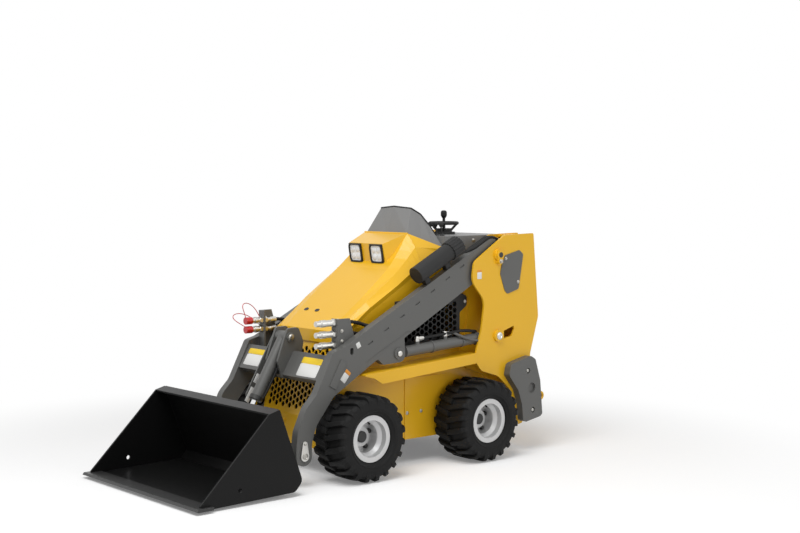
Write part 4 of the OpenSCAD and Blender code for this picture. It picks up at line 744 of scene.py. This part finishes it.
class LOADER_OT_rear_door(bpy.types.Operator):
    """Make the service door on the rear panel, with its louvres, hinges, latches and bolts."""

    bl_idname = "loader.rear_door"
    bl_label = "Rear door"

    def execute(self, context):
        low, high = (np.array(corner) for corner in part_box("rear_panel"))
        _, wide, tall = (high - low) / MM / 2 - (0, DOOR_SIDE, DOOR_ENDS)
        middle_z = (low[2] + high[2]) / 2 + DOOR_LIFT * MM

        def on_door(y, z, out=DOOR_FACE):
            """A place so many millimetres left of the door's middle, above it and out from the rear panel."""
            return np.array((low[0] - out * MM, y * MM, middle_z + z * MM))

        leaf = turned(DOOR_LEAF, on_door(0, 0, 0), -FORWARD, (wide, tall), UP, power=24.0, sides=120)
        levels = np.arange(LOUVRE_COUNT) * LOUVRE_STEP - tall * LOUVRE_FOOT
        rows = [(way * wide * LOUVRE_SHARE, z) for way in (-1, 1) for z in levels]
        slats = [on_door(y, z) for y, z in rows]
        louvres = turned(LOUVRE, slats, -FORWARD, LOUVRE_HALF, UP, power=6.0, sides=40)
        put_mesh("rear_door", join(leaf, louvres), "chassis", "yellow_paint")
        # Painted shade: thin black strips under the louvres stand in for the dark openings below their lips.
        below = [on_door(y, z - GAP_DROP) for y, z in rows]
        gaps = turned(GAP, below, -FORWARD, GAP_HALF, UP, power=8.0, sides=32)
        put_mesh("rear_louvre_gap_shade", gaps, "chassis", "black_plastic")
        hinge_y = -wide - HINGE_SIDE
        feet = [on_door(hinge_y, way * tall * HINGE_SHARE - HINGE_HALF, HINGE_OUT) for way in (-1, 1)]
        put_mesh("rear_hinges", turned(HINGE, feet, UP), "chassis", "zinc_plate", "dark_bolt")
        grips = [on_door(wide - LATCH_SIDE, way * tall * LATCH_SHARE) for way in (-1, 1)]
        latches = turned(LATCH, grips, -FORWARD, LATCH_HALF, UP, power=4.0, sides=48)
        put_mesh("rear_latches", latches, "chassis", "black_plastic")
        columns = (-wide - BOLT_HINGE_SIDE, wide + BOLT_LATCH_SIDE)
        edge = [on_door(y, z, 0) for y in columns for z in (-tall, -tall / 3, tall / 3, tall)]
        put_mesh("rear_bolts", bolt(edge, -FORWARD), "chassis", "zinc_plate", "bolt_zinc")
        return {"FINISHED"}


# How far the lamps look down, their distance from the middle and how far their frames stand out
LAMP_LEAN, LAMP_Y, LAMP_OUT = math.atan2(20, 115), 91, 2
BEZEL, BEZEL_HALF, BEZEL_SIDES = [(0, -3), (0, 5), (1.5, 7), (6, 7), (8, 5), (8.5, -2)], (53, 53), 64
CELL, CELL_OFF = [(17, -3), (17, 1.2), (14, 3), (9, 4.4), (3, 5)], 20


class LOADER_OT_lamp_optics(bpy.types.Operator):
    """Make the rounded frames and the clear optics of the two work lamps."""

    bl_idname = "loader.lamp_optics"
    bl_label = "Lamp optics"

    def execute(self, context):
        low, high = (np.array(corner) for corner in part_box("lamp_lenses"))
        out = np.array((math.cos(LAMP_LEAN), 0, -math.sin(LAMP_LEAN)))
        rise = np.array((math.sin(LAMP_LEAN), 0, math.cos(LAMP_LEAN)))
        ring = grid_faces(len(BEZEL), BEZEL_SIDES, wrap_rows=True, wrap_columns=True)
        for name, side in SIDES:
            middle = (low + high) / 2 * (1, 0, 1) + (LEFT * side * LAMP_Y + out * LAMP_OUT) * MM
            bezel, _ = turned(BEZEL, middle, out, BEZEL_HALF, rise, power=6.0, sides=BEZEL_SIDES)
            put_mesh("lamp_frame_" + name, (bezel, ring), "hood", "black_plastic")
            off = [(LEFT * y + rise * z) * CELL_OFF * MM for y in (-1, 1) for z in (-1, 1)]
            cells = turned(CELL, middle + np.array(off), out, sides=28)
            put_mesh("lamp_cells_" + name, cells, "hood", "lamp_glass", "lamp_cell")
        return {"FINISHED"}


# The way out of the hood's front face, and the latches on it
HOOD_OUT = (157.248, 0, 198.275)
HOOD_LATCHES = tuple((-90, y, 847.2) for y in (-49, -146))
HOOD_LATCH, HOOD_LATCH_HALF = [(0, -2), (0, 1.5), (2, 2.4), (4, 1), (9, 0.6)], (11, 17)


class LOADER_OT_hood_latches(bpy.types.Operator):
    """Make the latches on the hood's front."""

    bl_idname = "loader.hood_latches"
    bl_label = "Hood latches"

    def execute(self, context):
        where = places(HOOD_LATCHES)
        dishes = turned(HOOD_LATCH, where, HOOD_OUT, HOOD_LATCH_HALF, LEFT, power=2.4, sides=36)
        put_mesh("hood_latches", dishes, "hood", "motor_iron", "dark_bolt")
        return {"FINISHED"}


# The arm's upper edge under the hoses: a place on it, its rise, and the middle of a hose above it
EDGE_X, EDGE_Z, EDGE_RISE = -780, 1134.5, 0.512
HOSE_ABOVE, HEEL_HOSES_Y = 8.5, (364, 379, 394)
# Profiles on the cylinders as (radius, height)
PORT_NUT = [(17, 0), (17, 14), (14, 15.5)]
PORT_BODY = [(12, 14), (12, 22), (9, 27), (3, 29)]
PORT_END, PORT_END_UP = [(13, 8), (13, 30), (11, 31), (11, 44), (9, 46)], 12
LIFT_CLAMP = [(36, -9), (36, 9), (31, 9.5)]
LIFT_CLIP = [(33.5, -6), (33.5, 6), (31, 6.5)]
TILT_GLAND, GLAND_PLACE = [(34, -14), (36, -12), (36, 8), (33, 11), (24, 12)], (363, 0, 0)
# Places beside a cylinder: along it, to its left and above it, in millimetres
LIFT_PORTS = ((150, 0, 44), (355, 0, 44))
LIFT_HOSE_RUN = ((190, 0, 56), (400, 8, 58))
LIFT_HOSE_BEND = ((410, 8, 58), (480, 10, 62), (540, 6, 50), (588, 4, 38))
LIFT_PIPE = ((395, 0, 56), (425, 6, 56), (430, 40, 40), (470, 41, 14), (540, 40, -6), (592, 34, -10))
CLAMP_PLACE, CLIP_PLACES = (586, 0, 0), ((250, 0, 0), (470, 0, 0))
TILT_LINE = ((44, 22, -20), (56, 27, -31), (120, 26, -29), (250, 26, -29), (344, 27, -31), (358, 22, -20))
# Control points of the red caps' tethers, from the front axle
TETHERS = (
    ((192, -326, 750), (240, -350, 790), (290, -375, 800), (255, -380, 850), (150, -375, 840),
     (96, -340, 760)),
    ((192, -326, 800), (200, -326, 862), (250, -338, 882), (160, -348, 917), (120, -343, 862),
     (96, -332, 803)),
)
TETHER_D = 0.0044


class Beside:
    """Places beside a cylinder: a point is root + x along + y LEFT + z above, with above square to it."""

    def __init__(self, root, end):
        self.root = at(*root)
        self.along = unit(at(*end) - self.root)
        self.above = np.array((-self.along[2], 0, self.along[0]))
        self.above *= math.copysign(1, self.above[2])

    def __call__(self, points):
        x, y, z = np.asarray(points, float).reshape(-1, 3).T[..., None] * MM
        return self.root + x * self.along + y * LEFT + z * self.above


class LOADER_OT_hoses(bpy.types.Operator):
    """Make the hoses over the arms' heels, the lines on the cylinders and the tethers of the red caps."""

    bl_idname = "loader.hoses"
    bl_label = "Hoses and lines"

    def execute(self, context):
        lines = context.scene.loader_lines
        self.heel_hoses(lines)
        self.lift_lines(lines)
        self.tilt_lines(lines)
        self.tethers()
        return {"FINISHED"}

    def heel_hoses(self, lines):
        """Three hoses that come up inside each arm, lie along its upper edge and go down over its heel."""
        def above_arm(x, y):
            """The middle of a hose that lies on the arm's upper edge."""
            return at(x, y, EDGE_Z + HOSE_ABOVE + EDGE_RISE * (EDGE_X - x))

        for k, y in enumerate(HEEL_HOSES_Y):
            rise = [at(-785, 343, 1085), at(-812, 343, 1150), at(-832, y - 6, 1170), above_arm(-862, y)]
            heel = [above_arm(-955, y), above_arm(-990, y), at(-1040, y, 1228), at(-1095, y, 1184)]
            hose = tube(np.concatenate([bend(rise, 12), bend(heel, 14)]), lines.heel_hose)
            put_mesh(f"heel_hose_{k}", both_sides(hose), "lift_arms", "black_rubber")

    def lift_lines(self, lines):
        """The ports, hose, pipe and clamps on each lift cylinder."""
        beside = Beside(LIFT_LUG, LIFT_PIN)
        along, above, ports = beside.along, beside.above, beside(LIFT_PORTS)
        fittings = join(turned(PORT_NUT, ports, above, sides=6), turned(PORT_BODY, ports, above),
                        turned(PORT_END, ports + above * PORT_END_UP * MM, along, sides=6))
        run = run_through(beside(LIFT_HOSE_RUN), step=0.02)
        hose = tube(np.concatenate([run, bend(beside(LIFT_HOSE_BEND), 14)]), lines.lift_hose)
        pipe = tube(bend(beside(LIFT_PIPE), 26), lines.lift_pipe, sides=12)
        clamps = join(turned(LIFT_CLAMP, beside(CLAMP_PLACE), along, sides=40),
                      turned(LIFT_CLIP, beside(CLIP_PLACES), along, sides=40))
        for side, way in SIDES:
            for kind, part, slot in (("fittings", fittings, "zinc_plate"), ("hose", hose, "black_rubber"),
                                     ("pipe", pipe, "grey_paint"), ("clamps", clamps, "grey_paint")):
                shape = part if way > 0 else mirrored(part)
                put_mesh(f"lift_{kind}_{side}", shape, "lift_barrel_" + side, slot)

    def tilt_lines(self, lines):
        """The two lines behind the tilt cylinder's barrel, and the gland at its end."""
        beside = Beside(TILT_PIN, TILT_EYE)
        for side, way in SIDES:
            line = tube(bend(beside(np.array(TILT_LINE) * (1, way, 1)), 24), lines.tilt_line)
            put_mesh("tilt_line_" + side, line, "tilt_barrel", "black_rubber")
        gland = turned(TILT_GLAND, beside(GLAND_PLACE), beside.along, sides=40)
        put_mesh("tilt_gland", gland, "tilt_barrel", "motor_iron", "dark_bolt")

    def tethers(self):
        """The red caps' tethers, each a loop from its cap to the coupler behind it."""
        for k, points in enumerate(TETHERS):
            path = bend(places(points), 40)
            cord = put_mesh(f"cap_tether_{k}", tube(path, TETHER_D, sides=10), "lift_arms", "red_plastic")


FLOOR_HALF, FLOOR_WHITE = 40.0, (0.90, 0.90, 0.90, 1)
WHITE = (1, 1, 1, 1)
# Distances from the middle between which the floor's shadows give way to plain white
SHADE_END, PLAIN_START = 1.5, 3.2
# Name, place, aim, width and share of the key light's power
LAMPS = (("key_lamp", (2.6, 1.8, 5.6), (0, 0, 0.5), 4.0, 1.0),
         ("fill_lamp", (-2.5, 5.0, 2.6), (0, 0, 0.6), 3.0, 0.15))
CAMERA_WIDTH, CAMERA_FAR = 36.0, 200.0


def seen_rays(tree):
    """1 for a ray from the camera, and for one by way of a mirror or of glass; otherwise 0."""
    rays = add_node(tree, "LightPath").outputs
    direct = sums(tree, "MAXIMUM", rays["Is Camera Ray"], rays["Is Glossy Ray"])
    return sums(tree, "MAXIMUM", direct, rays["Is Transmission Ray"])


def make_floor_white(glow):
    """The floor: matt with a little glow near the loader, and plain white further off where it is seen."""
    tree, _ = new_material("floor_white")
    tree.nodes.clear()
    seen = seen_rays(tree)
    away = add_node(tree, "VectorMath", {0: object_place(tree)}, operation="LENGTH")
    far = add_node(tree, "MapRange",
                   {"Value": away.outputs["Value"], "From Min": SHADE_END, "From Max": PLAIN_START},
                   interpolation_type="SMOOTHSTEP")
    matt = add_node(tree, "BsdfDiffuse", {"Color": FLOOR_WHITE})
    strength = sums(tree, "MULTIPLY", seen, glow)
    lift = add_node(tree, "Emission", {"Color": WHITE, "Strength": strength})
    near = add_node(tree, "AddShader", {0: matt.outputs[0], 1: lift.outputs[0]})
    plain = add_node(tree, "Emission", {"Color": WHITE, "Strength": 1.0})
    share = sums(tree, "MULTIPLY", far.outputs[0], seen)
    both = add_node(tree, "MixShader", {0: share, 1: near.outputs[0], 2: plain.outputs[0]})
    add_node(tree, "OutputMaterial", {"Surface": both.outputs[0]})


class LOADER_OT_stage(bpy.types.Operator):
    """Make the pale floor, the surround, the lamps and the camera at the photograph's angle."""

    bl_idname = "loader.stage"
    bl_label = "Studio"

    def execute(self, context):
        scene = context.scene
        stage = scene.loader_stage
        scene.view_settings.view_transform = "Standard"
        u = np.linspace(-FLOOR_HALF, FLOOR_HALF, 3)
        x, y = np.meshgrid(u, u, indexing="ij")
        mesh = bpy.data.meshes.new("floor")
        mesh.from_pydata(np.stack([x, y, 0 * x], -1).reshape(-1, 3).tolist(), [], grid_faces(3, 3).tolist())
        make_floor_white(stage.floor_glow)
        mesh.materials.append(bpy.data.materials["floor_white"])
        floor = bpy.data.objects.new("floor", mesh)
        scene.collection.objects.link(floor)

        scene.world = bpy.data.worlds.new("pale_surround")
        scene.world.use_nodes = True
        tree = scene.world.node_tree
        tree.nodes.clear()
        level = add_node(tree, "MapRange", {"Value": seen_rays(tree), "To Min": stage.ambient})
        sky = add_node(tree, "Background", {"Color": WHITE, "Strength": level.outputs[0]})
        add_node(tree, "OutputWorld", {"Surface": sky.outputs[0]})

        for name, place, aim, width, share in LAMPS:
            lamp = bpy.data.lights.new(name, "AREA")
            lamp.energy = stage.key * share
            lamp.shape = "SQUARE"
            lamp.size = width
            holder = bpy.data.objects.new(name, lamp)
            scene.collection.objects.link(holder)
            holder.location = place
            way = Vector(aim) - Vector(place)
            holder.rotation_euler = way.to_track_quat("-Z", "Y").to_euler()

        camera = bpy.data.cameras.new("camera")
        camera.lens = stage.lens
        camera.sensor_width = CAMERA_WIDTH
        camera.sensor_fit = "HORIZONTAL"
        camera.clip_end = CAMERA_FAR
        holder = bpy.data.objects.new("camera", camera)
        scene.collection.objects.link(holder)
        holder.location = stage.eye
        holder.rotation_euler = (math.pi / 2 - stage.dip, 0.0, stage.turn - math.pi / 2)
        scene.camera = holder
        return {"FINISHED"}


class LOADER_PT_sidebar(bpy.types.Panel):
    """Lists the loader's values and steps in the 3D view's sidebar."""

    bl_idname = "LOADER_PT_sidebar"
    bl_label = "Loader"
    bl_space_type = "VIEW_3D"
    bl_region_type = "UI"
    bl_category = "Loader"

    def draw(self, context):
        scene = context.scene
        for group in (scene.loader_paint, scene.loader_lines, scene.loader_stage):
            for key in group.__annotations__:
                self.layout.prop(group, key)
        for step in STEPS:
            self.layout.operator(step.bl_idname)


STEPS = (LOADER_OT_finishes, LOADER_OT_stage, LOADER_OT_hoses, LOADER_OT_tyres, LOADER_OT_wheel_nuts,
         LOADER_OT_fasteners, LOADER_OT_labels, LOADER_OT_cowl_trim, LOADER_OT_instrument_panel,
         LOADER_OT_rear_door, LOADER_OT_lamp_optics, LOADER_OT_hood_latches)
CLASSES = (LoaderPaint, LoaderLines, LoaderStage, *STEPS, LOADER_PT_sidebar)


def register():
    """Registers the classes and puts the loader's values on the scene."""
    for cls in CLASSES:
        bpy.utils.register_class(cls)
    bpy.types.Scene.loader_paint = PointerProperty(type=LoaderPaint)
    bpy.types.Scene.loader_lines = PointerProperty(type=LoaderLines)
    bpy.types.Scene.loader_stage = PointerProperty(type=LoaderStage)


def unregister():
    """Takes the values and the classes away again."""
    del bpy.types.Scene.loader_stage
    del bpy.types.Scene.loader_lines
    del bpy.types.Scene.loader_paint
    for cls in reversed(CLASSES):
        bpy.utils.unregister_class(cls)


def main():
    """Runs every step."""
    register()
    bpy.ops.loader.finishes()
    bpy.ops.loader.stage()
    bpy.ops.loader.hoses()
    bpy.ops.loader.tyres()
    bpy.ops.loader.wheel_nuts()
    bpy.ops.loader.fasteners()
    bpy.ops.loader.labels()
    bpy.ops.loader.cowl_trim()
    bpy.ops.loader.instrument_panel()
    bpy.ops.loader.rear_door()
    bpy.ops.loader.lamp_optics()
    bpy.ops.loader.hood_latches()


if __name__ == "__main__":
    main()
